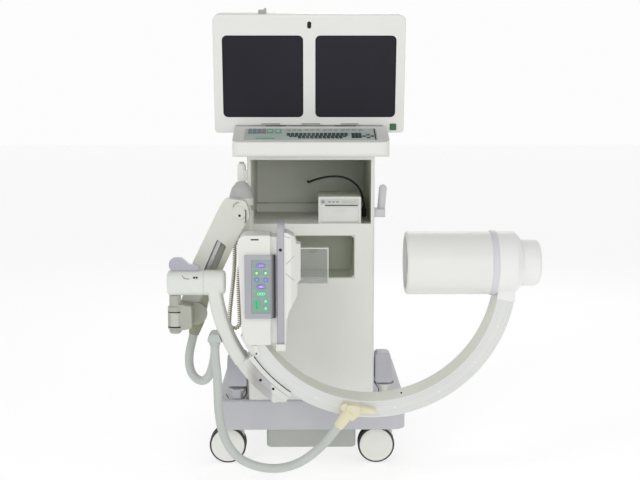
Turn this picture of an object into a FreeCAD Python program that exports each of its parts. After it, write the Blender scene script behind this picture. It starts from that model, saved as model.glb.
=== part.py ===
"""Mobile C-arm x-ray: a wheeled cart with two screens and a jointed arm that carries a C in front.

Sizes are in millimetres. X points to the right of the cart as its user faces it, -Y points to the
user, +Z points up. Places are written from the middle of the cart at floor height, and each piece
is moved by SHIFT_X and SHIFT_Y when it is saved, so that the whole stands over the origin.
"""

import FreeCAD, Part
import math
import os

from FreeCAD import Vector

# Place of the cart in the part's frame
SHIFT_X = -130.0
SHIFT_Y = 88.0

# Cart base
BASE_W = 634.0
BASE_FRONT = -260.0
BASE_BACK = 390.0
BASE_Z0 = 128.0
BASE_TOP = 230.0
BASE_WALL = 4.0
BASE_CORNER_R = 45.0
CHASSIS_T = 10.0
TUB_W = 300.0
TUB_Z0 = 64.0
TUB_BACK = 300.0
TUB_SETBACK = 6.0

# Casters
CASTER_X = 252.0
CASTER_FRONT_Y = -195.0
CASTER_BACK_Y = 318.0
CASTER_TRAIL = 31.0
WHEEL_R = 62.5
WHEEL_T = 19.0
WHEEL_GAP = 13.0
AXLE_R = 5.0
STEM_R = 8.0
TYRE_DEPTH = 9.0

# Cabinet
CAB_W = 418.0
CAB_FRONT = -255.0
CAB_BACK = 235.0
CAB_TOP = 1044.0
CAB_WALL = 12.0
SHELF_Z = 785.0
SHELF_T = 37.0
BIN_W = 290.0
BIN_Z0 = 641.0
BIN_DEPTH = 190.0
BIN_WALL = 3.0
BIN_RADIUS = 14.0
LEDGE_H = 30.0
LEDGE_D = 60.0
REAR_LAP = 5.0
REAR_T = 3.0
VENT_COUNT = 9
VENT_PITCH = 26.0
VENT_H = 9.0
VENT_W = 220.0

# Clear holder for leaflets
HOLDER_X = 6.0
HOLDER_W = 104.0
HOLDER_H = 122.0
HOLDER_D = 32.0
HOLDER_WALL = 2.5
HOLDER_TOP = 747.0

# Printer
PRINTER_X = 95.0
PRINTER_W = 140.0
PRINTER_H = 88.0
PRINTER_DEPTH = 240.0
PRINTER_FRONT = -240.0
PRINTER_DOOR_H = 52.0
PRINTER_DOOR_T = 6.0
PRINTER_SLOT_H = 5.0
PRINTER_GAP = 0.5
PRINTER_CABLE_R = 4.0

# Push handles and cord posts
HANDLE_TOP = 949.0
HANDLE_FOOT_Z = 856.0
HANDLE_R = 13.0
HANDLE_OUT = 36.0
POST_X = 246.0
POST_Y = -215.0
POST_NECK_R = 15.0
POST_FLARE_R = 30.0
POST_RIM_R = 34.0
POST_RIM_Z = 296.0
POST_TOP = 388.0

# Console on the cabinet
CONSOLE_W = 498.0
CONSOLE_FRONT = -375.0
CONSOLE_LIP_TOP = 1094.0
CONSOLE_WALL = 5.0
CONSOLE_BACK_W = 476.0
DECK_BACK_Y = -218.0
DECK_BACK_Z = 1141.0
DECK_T = 6.0
CONSOLE_REAR_TOP = 1088.0
DECK_MARGIN = 8.0
KEYPAD_MARGIN = 26.0
KEYPAD_W = CONSOLE_BACK_W - 2 * KEYPAD_MARGIN
KEYPAD_T = 2.0
KEY_SIZE = 11.0
KEY_PITCH = 14.0
KEY_H = 1.5

# Monitor
MON_W = 622.0
MON_H = 384.0
MON_D = 62.0
MON_LEAN = 9.0
MON_CORNER_R = 24.0
MON_BOTTOM_DROP = 24.0
MON_NOTCH_W = 484.0
MON_X = -5.0
MON_FRONT_Y = -212.0
HINGE_Z = 1149.0
HINGE_R = 11.0
HINGE_BAR_R = 6.0
HINGE_Y = -168.0
BEZEL_T = 14.0
SCREEN_W = 262.0
SCREEN_H = 265.0
SCREEN_T = 4.0
SCREEN_R = 16.0
SCREEN_GAP = 39.0
SCREEN_LOW = 52.0
SCREEN_RECESS = 3.0
BUTTON_SIZE = 21.0
BUTTON_X = 275.0
BUTTON_UP = 20.0
BUTTON_OUT = 3.0
BUTTON_TRAVEL = 2.0
PEDESTAL_W = 300.0

# Hand switch on the cabinet's left wall
SWITCH_R = 14.0
SWITCH_Z0 = 956.0
SWITCH_Z1 = 1019.0
SWITCH_X = -227.0
SWITCH_Y = -236.0
TRIGGER_R = 8.0
TRIGGER_OUT = 6.0
TRIGGER_TRAVEL = 3.0
CURLY_R = 8.0

# Swivel and lifting arm
SWIVEL_X = -225.0
SWIVEL_Y = -294.0
SHOULDER_R = 39.0
SHOULDER_Z0 = 776.0
SHOULDER_Z1 = 912.0
DOME_H = 52.0
ARM_Y = -367.0
ARM_DEPTH = 62.0
ARM_WALL = 8.0
ARM_FOOT_Z = 518.0
PIVOT_TOP_X = -227.0
PIVOT_TOP_Z = 872.0
PIVOT_LOW_X = -366.0
PIVOT_LOW_Z = 553.0
PIVOT_R = 9.0
PIVOT_CAP_R = 22.0
FLANGE_R = 36.0
FLANGE_T = 12.0
ROD_DX = -17.0
ROD_DZ = 17.0
LIFT_UP = 55.0
LIFT_DOWN = 12.0
SLOT_SPARE = 4.0
ROD_PIN_R = 4.5
ROD_W = 12.0
FIT = 0.05
RUN_GAP = 0.5

# Yoke, rotor and spindle
RING_Y = -465.0
SPINDLE_X = -424.0
SPINDLE_R = 18.0
SPINDLE_Z0 = 502.0
YOKE_Z = 662.0
YOKE_H = 76.0
YOKE_D = 78.0
YOKE_X0 = -445.0
YOKE_X1 = -332.5
ROTOR_X1 = -267.0
AXLE_JOURNAL_R = 16.0
LEVER_TIP_X = -350.0
LEVER_BULB_X = -418.0

# C ring, strut and carriage
RING_LEFT = -260.0
RING_Z = 690.0
RING_R = 446.0
RING_X = RING_LEFT + RING_R
RING_T = 54.0
RING_DEPTH = 110.0
RING_WALL = 6.0
ARC_START = 205.0
ARC_END = 350.5
STRUT_GAP = 22.0
STRUT_T = 40.0
STRUT_R0 = RING_R + STRUT_GAP
STRUT_R1 = STRUT_R0 + STRUT_T
STRUT_DEPTH = 76.0
STRUT_START = 183.0
CARRIAGE_A0 = 214.0
CARRIAGE_A1 = 236.0
CARRIAGE_LIP = 7.0
CARRIAGE_LIP_T = 5.0
CARRIAGE_LAP = 8.0
CARRIAGE_STEP = 4.0
TRACK_W = 44.0
TRACK_SLOT = 22.0
TRACK_T = 6.0
ROLLER_R = 9.0
ROLLER_PLAY = 1.0
ROLLER_PATH_R = RING_R - TRACK_T - ROLLER_R - ROLLER_PLAY
ROLLER_ANGLES = (217.0, 225.0, 233.0)

# Source head
BEAM_Z = 723.0
HEAD_X0 = -226.0
HEAD_X1 = -124.0
HEAD_Z0 = 475.0
HEAD_Z1 = 816.0
HEAD_D = 124.0
NECK_X1 = -105.0
BUMPER_T = 22.0
BUMPER_Z0 = 471.0
BUMPER_Z1 = 851.0
BUMPER_D = 120.0
CONE_L = 50.0
PANEL_X0 = -207.0
PANEL_X1 = -122.0
PANEL_Z0 = 561.0
PANEL_Z1 = 756.0
PANEL_T = 10.0
KEY_PADS = [
    (-153, 725, 26, 11), (-166, 702, 13, 13), (-139, 702, 13, 13), (-166, 681, 13, 13), (-139, 681, 13, 13),
    (-153, 660, 26, 11), (-153, 638, 30, 13), (-166, 604, 12, 32), (-139, 615, 13, 13), (-139, 593, 13, 13)]

# Image intensifier
II_R = 98.0
II_IN = 27.0
II_L = 259.0
II_RING_L = 21.0
II_COLLAR_L = 60.0
II_CAP_STEP = 8.0
II_CAP_L = 67.0
II_X1 = RING_X + RING_R - RING_T - II_IN
II_X0 = II_X1 - II_L
II_COLLAR_X0 = II_X1 + II_RING_L
II_COLLAR_X1 = II_COLLAR_X0 + II_COLLAR_L
II_CAP_X0 = II_COLLAR_X1 + II_CAP_STEP
II_CAP_X1 = II_CAP_X0 + II_CAP_L
II_CAP_R = 72.0
II_WALL = 4.0
II_WINDOW_IN = 14.0
II_WINDOW_T = 4.0
II_WINDOW_RISE = 1.0
II_LIP = 16.0

# Conduit and cords, with their routes
CONDUIT_R = 14.0
BOOT_R = 24.0
BOOT_L = 48.0
CONDUIT_UPPER = [
    (-378, -367, 478), (-388, -370, 440), (-394, -378, 400), (-388, -392, 362), (-368, -408, 340),
    (-342, -424, 336), (-322, -434, 358), (-310, -440, 396), (-303, -443, 436), (-303, -443, 470)]
CONDUIT_LOWER = [
    (-300, -488, 470), (-300, -488, 430), (-293, -496, 380), (-291, -503, 325), (-289, -510, 268),
    (-281, -517, 212), (-262, -523, 160), (-230, -528, 120), (-186, -532, 97), (-135, -535, 86),
    (-84, -540, 90), (-36, -543, 107), (8, -546, 139), (46, -547, 176), (82, -547, 224)]
CURLY_CORD = [
    (-227, -236, 956), (-227, -236, 918), (-244, -235, 886), (-252, -235, 842), (-254, -236, 790),
    (-252, -236, 730), (-254, -237, 672), (-260, -238, 615), (-267, -238, 560), (-272, -238, 510),
    (-273, -238, 480.8), (-262.8, -238, 470.5), (-248.2, -238, 470.5), (-238, -238, 480.8),
    (-238, -238, 508), (-240, -238, 556), (-241, -238, 604), (-240, -237, 650), (-237, -236, 678),
    (-226, -236, 692), (-209, -236, 692)]
PRINTER_CABLE = [
    (-10, 223, 930), (-10, 180, 930), (-9, 130, 934), (-8, 75, 936), (-6, 20, 940), (-3, -30, 945),
    (8, -75, 953), (32, -108, 963), (66, -124, 970), (102, -128, 970), (136, -124, 958),
    (162, -116, 934), (177, -108, 904), (181, -104, 870)]

# Cable branch on the C
BREAK_OUT = 27.0
BREAK_START = (82.0, 224.0)
BREAK_END = (118.0, 272.0)


def box(x0, x1, y0, y1, z0, z1):
    """A block between two corners."""
    return Part.makeBox(x1 - x0, y1 - y0, z1 - z0, Vector(x0, y0, z0))


def rod(r, start, end):
    """A round bar from one point to another."""
    a, b = Vector(*start), Vector(*end)
    return Part.makeCylinder(r, (b - a).Length, a, b - a)


def cone(r0, r1, start, end):
    """A round taper from one point to another."""
    a, b = Vector(*start), Vector(*end)
    return Part.makeCone(r0, r1, (b - a).Length, a, b - a)


def place(plane, u, v, w):
    """A point from two coordinates in a plane and one across it."""
    if plane == "xy":
        return Vector(u, v, w)
    if plane == "xz":
        return Vector(u, w, v)
    return Vector(w, u, v)


def outline(plane, w, points, radii=0.0):
    """A closed wire through the points, with each corner rounded by its radius."""
    count = len(points)
    if not isinstance(radii, (list, tuple)):
        radii = [radii] * count
    edges, ends = [], []
    for i in range(count):
        p = Vector(*points[i], 0)
        before = Vector(*points[i - 1], 0) - p
        after = Vector(*points[(i + 1) % count], 0) - p
        turn = before.getAngle(after)
        reach = 0.0
        if radii[i] > 0:
            reach = radii[i] / math.tan(turn / 2)
        a = p + before.normalize() * reach
        b = p + after.normalize() * reach
        if radii[i] > 0:
            middle = before + after
            middle.normalize()
            far = radii[i] / math.sin(turn / 2) - radii[i]
            ends.append((a, p + middle * far, b))
        else:
            ends.append((p, None, p))
    for i in range(count):
        a, m, b = ends[i]
        if m is not None:
            trio = [place(plane, q.x, q.y, w) for q in (a, m, b)]
            edges.append(Part.Arc(*trio).toShape())
        following = ends[(i + 1) % count][0]
        if (following - b).Length > 1e-6:
            line = Part.LineSegment(place(plane, b.x, b.y, w), place(plane, following.x, following.y, w))
            edges.append(line.toShape())
    return Part.Wire(edges)


def prism(plane, points, w0, w1, radii=0.0):
    """The outline's area drawn out across its plane from w0 to w1."""
    face = Part.Face(outline(plane, w0, points, radii))
    return face.extrude(place(plane, 0, 0, w1 - w0))


def plate(plane, u0, u1, v0, v1, w0, w1, radii=0.0):
    """A rectangle with rounded corners drawn out across its plane."""
    return prism(plane, [(u0, v0), (u1, v0), (u1, v1), (u0, v1)], w0, w1, radii)


def revolve(points, centre, axis, radii=0.0):
    """A solid of revolution: points are (radius, distance along the axis)."""
    wire = outline("xz", 0.0, points, radii)
    solid = Part.Face(wire).revolve(Vector(0, 0, 0), Vector(0, 0, 1), 360)
    turn = FreeCAD.Rotation(Vector(0, 0, 1), Vector(*axis))
    solid.Placement = FreeCAD.Placement(Vector(*centre), turn)
    return solid


def fuse(first, *others):
    """One solid of several that touch."""
    return first.fuse(list(others)).removeSplitter()


def turned(shape, centre, axis, degrees):
    """A turned copy."""
    copy = shape.copy()
    copy.rotate(Vector(*centre), Vector(*axis), degrees)
    return copy


def mirrored(shape):
    """A copy mirrored from the cart's right to its left."""
    return shape.mirror(Vector(0, 0, 0), Vector(1, 0, 0))


def rounded(shape, radius, test):
    """The shape with the edges that pass the test rounded."""
    edges = [e for e in shape.Edges if test(e)]
    return shape.makeFillet(radius, edges)


def along(edge, axis):
    """Whether a straight edge runs along x, y or z."""
    if edge.Curve.TypeId != "Part::GeomLine":
        return False
    way = edge.tangentAt(edge.FirstParameter)
    return abs(getattr(way, axis)) > 0.999


def save(name, shape):
    """Moves a piece to the part's frame and writes it."""
    solids = shape.Solids
    whole = solids[0] if len(solids) == 1 else Part.makeCompound(solids)
    whole = whole.copy()
    whole.translate(Vector(SHIFT_X, SHIFT_Y, 0))
    whole.exportStep("parts/" + name + ".step")
    BUILT[name] = whole


BUILT = {}


def ring_point(radius, degrees):
    """X and Z of a point on a circle about the ring's centre."""
    a = math.radians(degrees)
    return RING_X + radius * math.cos(a), RING_Z + radius * math.sin(a)


def ring_sector(r0, r1, a0, a1, y0, y1):
    """A piece of a flat ring about the ring's centre."""
    middle = (a0 + a1) / 2
    points = {}
    for label, r in (("in", r0), ("out", r1)):
        for name, a in (("start", a0), ("mid", middle), ("end", a1)):
            x, z = ring_point(r, a)
            points[label, name] = Vector(x, y0, z)
    outer = Part.Arc(points["out", "start"], points["out", "mid"], points["out", "end"]).toShape()
    inner = Part.Arc(points["in", "end"], points["in", "mid"], points["in", "start"]).toShape()
    end = Part.LineSegment(points["out", "end"], points["in", "end"]).toShape()
    start = Part.LineSegment(points["in", "start"], points["out", "start"]).toShape()
    face = Part.Face(Part.Wire([outer, end, inner, start]))
    return face.extrude(Vector(0, y1 - y0, 0))


def make_base():
    """The base cover, the welded chassis with its weight tub, and the casters' seats."""
    half = BASE_W / 2
    outer = plate("xy", -half, half, BASE_FRONT, BASE_BACK, BASE_Z0, BASE_TOP, BASE_CORNER_R)
    top_edges = [e for e in outer.Edges if e.BoundBox.ZMin > BASE_TOP - 0.1]
    outer = outer.makeFillet(9.0, top_edges)
    chassis_z1 = BASE_Z0 + CHASSIS_T + BASE_WALL
    inner_r = BASE_CORNER_R - BASE_WALL
    inner = plate(
        "xy", -half + BASE_WALL, half - BASE_WALL, BASE_FRONT + BASE_WALL, BASE_BACK - BASE_WALL,
        BASE_Z0 - 1, BASE_TOP - 10.0, inner_r)
    shroud = outer.cut(inner)
    save("base_shroud", shroud)

    gap = BASE_WALL + RUN_GAP
    deck = plate(
        "xy", -half + gap, half - gap, BASE_FRONT + gap, BASE_BACK - gap,
        chassis_z1 - CHASSIS_T, chassis_z1, inner_r)
    ribs = []
    rib_z1 = BASE_TOP - 10.0
    for x in (-CAB_W / 2 + 40, CAB_W / 2 - 40):
        ribs.append(box(x - 15, x + 15, BASE_FRONT + 30, BASE_BACK - 30, chassis_z1, rib_z1))
    tub = plate(
        "xy", -TUB_W / 2, TUB_W / 2, BASE_FRONT + TUB_SETBACK, TUB_BACK, TUB_Z0,
        chassis_z1 - CHASSIS_T, 20.0)
    low = [e for e in tub.Edges if e.BoundBox.ZMax < TUB_Z0 + 0.1]
    tub = tub.makeFillet(8.0, low)
    chassis = fuse(deck, tub, *ribs)
    for x, y in caster_places():
        seat = rod(STEM_R + FIT, (x, y, chassis_z1 - CHASSIS_T - 1), (x, y, chassis_z1 + 1))
        chassis = chassis.cut(seat)
    save("base_chassis", chassis)


def caster_places():
    """Where the four casters swivel: front left, front right, back left, back right."""
    return [
        (-CASTER_X, CASTER_FRONT_Y), (CASTER_X, CASTER_FRONT_Y),
        (-CASTER_X, CASTER_BACK_Y), (CASTER_X, CASTER_BACK_Y)]


def make_casters():
    """Twin-wheel casters with a hood between the wheels, trailing to the left."""
    seat_z = BASE_Z0 + BASE_WALL
    hood_half = WHEEL_GAP / 2 - 0.8
    for name, (x, y) in zip(("fl", "fr", "bl", "br"), caster_places()):
        axle_x = x - CASTER_TRAIL
        web = fuse(
            rod(WHEEL_R - 14, (axle_x, y - hood_half, WHEEL_R), (axle_x, y + hood_half, WHEEL_R)),
            prism(
                "xz",
                [(axle_x - 20, WHEEL_R), (x + 24, WHEEL_R + 8), (x + 24, seat_z - 1), (axle_x + 6, seat_z - 1)],
                y - hood_half, y + hood_half))
        crown = rod(24, (x, y, seat_z - 5), (x, y, seat_z - 0.5))
        fork = fuse(web, crown)
        stem = rod(STEM_R, (x, y, seat_z - 0.5), (x, y, seat_z + CHASSIS_T))
        fork = fuse(fork, stem)
        fork = fork.cut(rod(AXLE_R + FIT, (axle_x, y - 40, WHEEL_R), (axle_x, y + 40, WHEEL_R)))
        save("caster_fork_" + name, fork)
        side = [
            (AXLE_R - 0.01, WHEEL_GAP / 2), (WHEEL_R - 6, WHEEL_GAP / 2), (WHEEL_R, WHEEL_GAP / 2 + 5),
            (WHEEL_R, WHEEL_GAP / 2 + WHEEL_T - 5), (WHEEL_R - 5, WHEEL_GAP / 2 + WHEEL_T),
            (WHEEL_R - TYRE_DEPTH, WHEEL_GAP / 2 + WHEEL_T), (WHEEL_R - TYRE_DEPTH - 2, WHEEL_GAP / 2 + WHEEL_T - 2),
            (WHEEL_R - TYRE_DEPTH - 4, WHEEL_GAP / 2 + WHEEL_T), (20, WHEEL_GAP / 2 + WHEEL_T + 2),
            (AXLE_R - 0.01, WHEEL_GAP / 2 + WHEEL_T + 2)]
        near = revolve(side, (axle_x, y, WHEEL_R), (0, -1, 0))
        far = revolve(side, (axle_x, y, WHEEL_R), (0, 1, 0))
        reach = WHEEL_GAP / 2 + WHEEL_T
        axle = rod(AXLE_R, (axle_x, y - reach, WHEEL_R), (axle_x, y + reach, WHEEL_R))
        save("caster_wheels_" + name, fuse(near, far, axle))


def make_cabinet():
    """The tall cabinet: an open compartment on a shelf, a recessed bin and a vented back."""
    half = CAB_W / 2
    z0 = BASE_TOP
    body = plate("xy", -half, half, CAB_FRONT, CAB_BACK, z0, CAB_TOP, 10.0)
    inside = half - CAB_WALL
    upper = box(-inside, inside, CAB_FRONT - 1, CAB_BACK - CAB_WALL, SHELF_Z + SHELF_T, CAB_TOP - CAB_WALL)
    body = body.cut(upper)
    bin_z1 = SHELF_Z
    mouth = box(-BIN_W / 2, BIN_W / 2, CAB_FRONT - 1, CAB_FRONT + BIN_DEPTH, BIN_Z0, bin_z1)
    lower = box(-inside, inside, CAB_FRONT + CAB_WALL, CAB_BACK + 1, z0 + CAB_WALL, SHELF_Z)
    body = body.cut([mouth, lower])
    ledge = box(-inside, inside, CAB_BACK - CAB_WALL - LEDGE_D, CAB_BACK - CAB_WALL,
                SHELF_Z + SHELF_T, SHELF_Z + SHELF_T + LEDGE_H)
    body = fuse(body, ledge)
    save("cabinet_shell", body)

    liner = box(-BIN_W / 2, BIN_W / 2, CAB_FRONT + 1, CAB_FRONT + BIN_DEPTH, BIN_Z0, bin_z1)
    hollow = box(
        -BIN_W / 2 + BIN_WALL, BIN_W / 2 - BIN_WALL, CAB_FRONT, CAB_FRONT + BIN_DEPTH - BIN_WALL,
        BIN_Z0 + BIN_WALL, bin_z1 - BIN_WALL)
    hollow = hollow.makeFillet(BIN_RADIUS, [e for e in hollow.Edges if along(e, "y")])
    save("bin_liner", liner.cut(hollow))

    panel = plate(
        "xz", -inside - REAR_LAP, inside + REAR_LAP, z0 + CAB_WALL - REAR_LAP, SHELF_Z + REAR_LAP,
        CAB_BACK, CAB_BACK + REAR_T, 6.0)
    slots = []
    middle = (z0 + SHELF_Z) / 2
    for i in range(VENT_COUNT):
        z = middle + (i - (VENT_COUNT - 1) / 2) * VENT_PITCH
        slots.append(plate(
            "xz", -VENT_W / 2, VENT_W / 2, z, z + VENT_H, CAB_BACK - 1, CAB_BACK + REAR_T + 1, 4.0))
    save("cabinet_rear_panel", panel.cut(slots))


def make_holder():
    """A clear open-topped leaflet holder on the cabinet's front."""
    x0, x1 = HOLDER_X - HOLDER_W / 2, HOLDER_X + HOLDER_W / 2
    y1 = CAB_FRONT
    z0 = HOLDER_TOP - HOLDER_H
    outer = box(x0, x1, y1 - HOLDER_D, y1, z0, HOLDER_TOP)
    inner = box(
        x0 + HOLDER_WALL, x1 - HOLDER_WALL, y1 - HOLDER_D + HOLDER_WALL, y1 - HOLDER_WALL,
        z0 + HOLDER_WALL, HOLDER_TOP + 1)
    dip = rod(HOLDER_W / 4, (HOLDER_X, y1 - HOLDER_D - 1, HOLDER_TOP + 8),
              (HOLDER_X, y1 - HOLDER_D + HOLDER_WALL + 1, HOLDER_TOP + 8))
    save("leaflet_holder", outer.cut([inner, dip]))


def make_printer():
    """A small image printer on the shelf, with a drop-down front door and a looped cable."""
    x0, x1 = PRINTER_X - PRINTER_W / 2, PRINTER_X + PRINTER_W / 2
    z0 = SHELF_Z + SHELF_T
    z1 = z0 + PRINTER_H
    case = box(x0, x1, PRINTER_FRONT, PRINTER_FRONT + PRINTER_DEPTH, z0, z1)
    case = rounded(case, 4.0, lambda e: along(e, "y") and e.BoundBox.ZMin > z1 - 1)
    door_z1 = z0 + PRINTER_DOOR_H
    recess = box(x0 + 8, x1 - 8, PRINTER_FRONT - 1, PRINTER_FRONT + PRINTER_DOOR_T + PRINTER_GAP,
                 z0 + 3, door_z1)
    slot = box(x0 + 22, x1 - 10, PRINTER_FRONT - 1, PRINTER_FRONT + 30, door_z1 + 5, door_z1 + 5 + PRINTER_SLOT_H)
    strip = plate("xz", x0 + 8, x1 - 10, z1 - 22, z1 - 8, PRINTER_FRONT - 1, PRINTER_FRONT + 1.5, 3.0)
    hinge = rod(PRINTER_DOOR_T / 2 + FIT + 0.3, (x0 + 7, PRINTER_FRONT + PRINTER_DOOR_T / 2, z0 + 7),
                (x1 - 7, PRINTER_FRONT + PRINTER_DOOR_T / 2, z0 + 7))
    pin = rod(1.5, (x0 + 2, PRINTER_FRONT + PRINTER_DOOR_T / 2, z0 + 7),
              (x0 + 14, PRINTER_FRONT + PRINTER_DOOR_T / 2, z0 + 7))
    other = pin.translated(Vector(PRINTER_W - 16, 0, 0))
    case = fuse(case.cut([recess, slot, strip, hinge]), pin, other)
    save("printer_case", case)

    door = plate("xz", x0 + 8 + PRINTER_GAP, x1 - 8 - PRINTER_GAP, z0 + 7, door_z1 - PRINTER_GAP,
                 PRINTER_FRONT, PRINTER_FRONT + PRINTER_DOOR_T)
    roll = rod(PRINTER_DOOR_T / 2, (x0 + 8 + PRINTER_GAP, PRINTER_FRONT + PRINTER_DOOR_T / 2, z0 + 7),
               (x1 - 8 - PRINTER_GAP, PRINTER_FRONT + PRINTER_DOOR_T / 2, z0 + 7))
    grip = plate("xz", PRINTER_X - 18, PRINTER_X + 18, door_z1 - 14, door_z1 - 8,
                 PRINTER_FRONT - 1, PRINTER_FRONT + 2.5, 2.5)
    bores = [rod(1.5 + FIT, (x0 + 1, PRINTER_FRONT + PRINTER_DOOR_T / 2, z0 + 7),
                 (x0 + 15, PRINTER_FRONT + PRINTER_DOOR_T / 2, z0 + 7))]
    bores.append(bores[0].translated(Vector(PRINTER_W - 16, 0, 0)))
    save("printer_door", fuse(door, roll).cut([grip] + bores))


def make_handles():
    """The push grip on the cabinet's right side, and the cord posts on the base."""
    half = CAB_W / 2
    x = half + HANDLE_OUT - HANDLE_R
    y0 = CAB_FRONT + 15
    foot = plate("yz", y0, y0 + 60, HANDLE_FOOT_Z - 14, HANDLE_FOOT_Z + 14, half, half + HANDLE_OUT, 8.0)
    grip_low = rod(HANDLE_R, (x, y0 + 30, HANDLE_FOOT_Z), (x + 6, y0 + 24, HANDLE_TOP - HANDLE_R))
    knob = Part.makeSphere(HANDLE_R, Vector(x + 6, y0 + 24, HANDLE_TOP - HANDLE_R))
    handle = fuse(foot, grip_low, knob)
    handle = handle.common(box(half, half + 80, y0 - 60, y0 + 120, HANDLE_FOOT_Z - 30, HANDLE_TOP + 5))
    save("push_handle", handle)

    neck = [
        (0, 0), (POST_FLARE_R, 0), (POST_FLARE_R - 8, 10), (POST_NECK_R, 34),
        (POST_NECK_R, POST_RIM_Z - BASE_TOP - 24), (POST_RIM_R, POST_RIM_Z - BASE_TOP - 6),
        (POST_RIM_R, POST_RIM_Z - BASE_TOP), (0, POST_RIM_Z - BASE_TOP)]
    column = revolve(neck, (POST_X, POST_Y, BASE_TOP), (0, 0, 1))
    block = prism(
        "xz",
        [(POST_X - 24, POST_RIM_Z), (POST_X + 40, POST_RIM_Z), (POST_X + 27, POST_TOP), (POST_X - 18, POST_TOP)],
        POST_Y - 26, POST_Y + 26, [0, 0, 10.0, 10.0])
    block = rounded(block, 8.0, lambda e: along(e, "y") is False and abs(e.Length - (POST_TOP - POST_RIM_Z)) < 25
                    and e.BoundBox.ZLength > 50)
    post = fuse(column, block)
    save("cord_post_right", post)
    save("cord_post_left", mirrored(post))


def deck_frame():
    """Where the sloping key deck lies: its front and back edges as (y, z)."""
    return (CONSOLE_FRONT + 8.0, CONSOLE_LIP_TOP + 2.0), (DECK_BACK_Y, DECK_BACK_Z)


def lay_on_deck(shape):
    """Moves a piece drawn flat, with y from the deck's front edge, onto the slope."""
    (y0, z0), (y1, z1) = deck_frame()
    slope = math.degrees(math.atan2(z1 - z0, y1 - y0))
    shape = turned(shape, (0, 0, 0), (1, 0, 0), slope)
    return shape.translated(Vector(0, y0, z0))


def deck_length():
    (y0, z0), (y1, z1) = deck_frame()
    return math.hypot(y1 - y0, z1 - z0)


def make_console():
    """The console over the cabinet: its shell, the sloping key deck and the keypad."""
    (y0, z0), (y1, z1) = deck_frame()
    half, back = CONSOLE_W / 2, CONSOLE_BACK_W / 2
    z_low = CAB_TOP + 3.0
    side = [
        (CONSOLE_FRONT, z_low), (CONSOLE_FRONT, CONSOLE_LIP_TOP), (y0, z0), (y1, z1),
        (y1 + 6, CONSOLE_REAR_TOP), (CAB_BACK - 30, CONSOLE_REAR_TOP), (CAB_BACK - 8, CAB_TOP), (CAB_FRONT - 2, CAB_TOP),
        (CAB_FRONT - 20, z_low)]
    shell = prism("yz", side, -half, half, [12, 6, 0, 4, 4, 14, 0, 0, 0])
    corner = plate("xy", -half, half, CONSOLE_FRONT, CAB_BACK, CAB_TOP - 10, z1 + 20, [22, 22, 30, 30])
    shell = shell.common(corner)
    inner = [
        (CONSOLE_FRONT + CONSOLE_WALL, z_low + CONSOLE_WALL), (CONSOLE_FRONT + CONSOLE_WALL, z0 - 12),
        (y1, z1 - DECK_T - CONSOLE_WALL), (y1, CAB_TOP + CONSOLE_WALL), (CAB_FRONT, CAB_TOP + CONSOLE_WALL)]
    hollow = prism("yz", inner, -half + 25, half - 25)
    shell = shell.cut(hollow)
    length = deck_length()
    deck = plate("xy", -back + DECK_MARGIN, back - DECK_MARGIN, 4.0, length - 4.0, -DECK_T, 0.0, 10.0)
    shell = shell.cut(lay_on_deck(deck))
    save("console_shell", shell)

    w, keys_y0, keys_y1 = KEYPAD_W / 2, 12.0, length - 26.0
    recess = plate("xy", -w, w, keys_y0, keys_y1, -KEYPAD_T, 1.0, 6.0)
    save("keyboard_deck", lay_on_deck(deck.cut(recess)))

    sheet = plate("xy", -w, w, keys_y0, keys_y1, -KEYPAD_T, 0.0, 6.0)
    keys = []
    rows = int((keys_y1 - keys_y0 - 16) // KEY_PITCH)
    for row in range(rows):
        y = keys_y0 + 10 + row * KEY_PITCH
        for col in range(18):
            x = -40 + col * KEY_PITCH
            if x + KEY_SIZE < w - 8 and not (col > 14 and row == rows - 2):
                keys.append(box(x, x + KEY_SIZE, y, y + KEY_SIZE - 2, -0.5, KEY_H))
        for col in range(7):
            x = -w + 12 + col * 2 * KEY_PITCH * 0.6
            if row not in (0, rows - 1):
                keys.append(box(x, x + KEY_SIZE, y, y + KEY_SIZE - 2, -0.5, KEY_H))
    save("keypad", lay_on_deck(fuse(sheet, *keys)))


def pedestal_spans():
    """The two stretches in X where the pedestal's blocks hold the hinge bar."""
    half = PEDESTAL_W / 2
    return (-half, -half + 70), (half - 70, half)


def mon_place(shape):
    """Moves a monitor piece, drawn upright from its bottom edge and front face, to its lean."""
    shape = shape.translated(Vector(MON_X, MON_FRONT_Y, HINGE_Z - MON_BOTTOM_DROP))
    return turned(shape, (0, HINGE_Y, HINGE_Z), (1, 0, 0), MON_LEAN)


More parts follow.
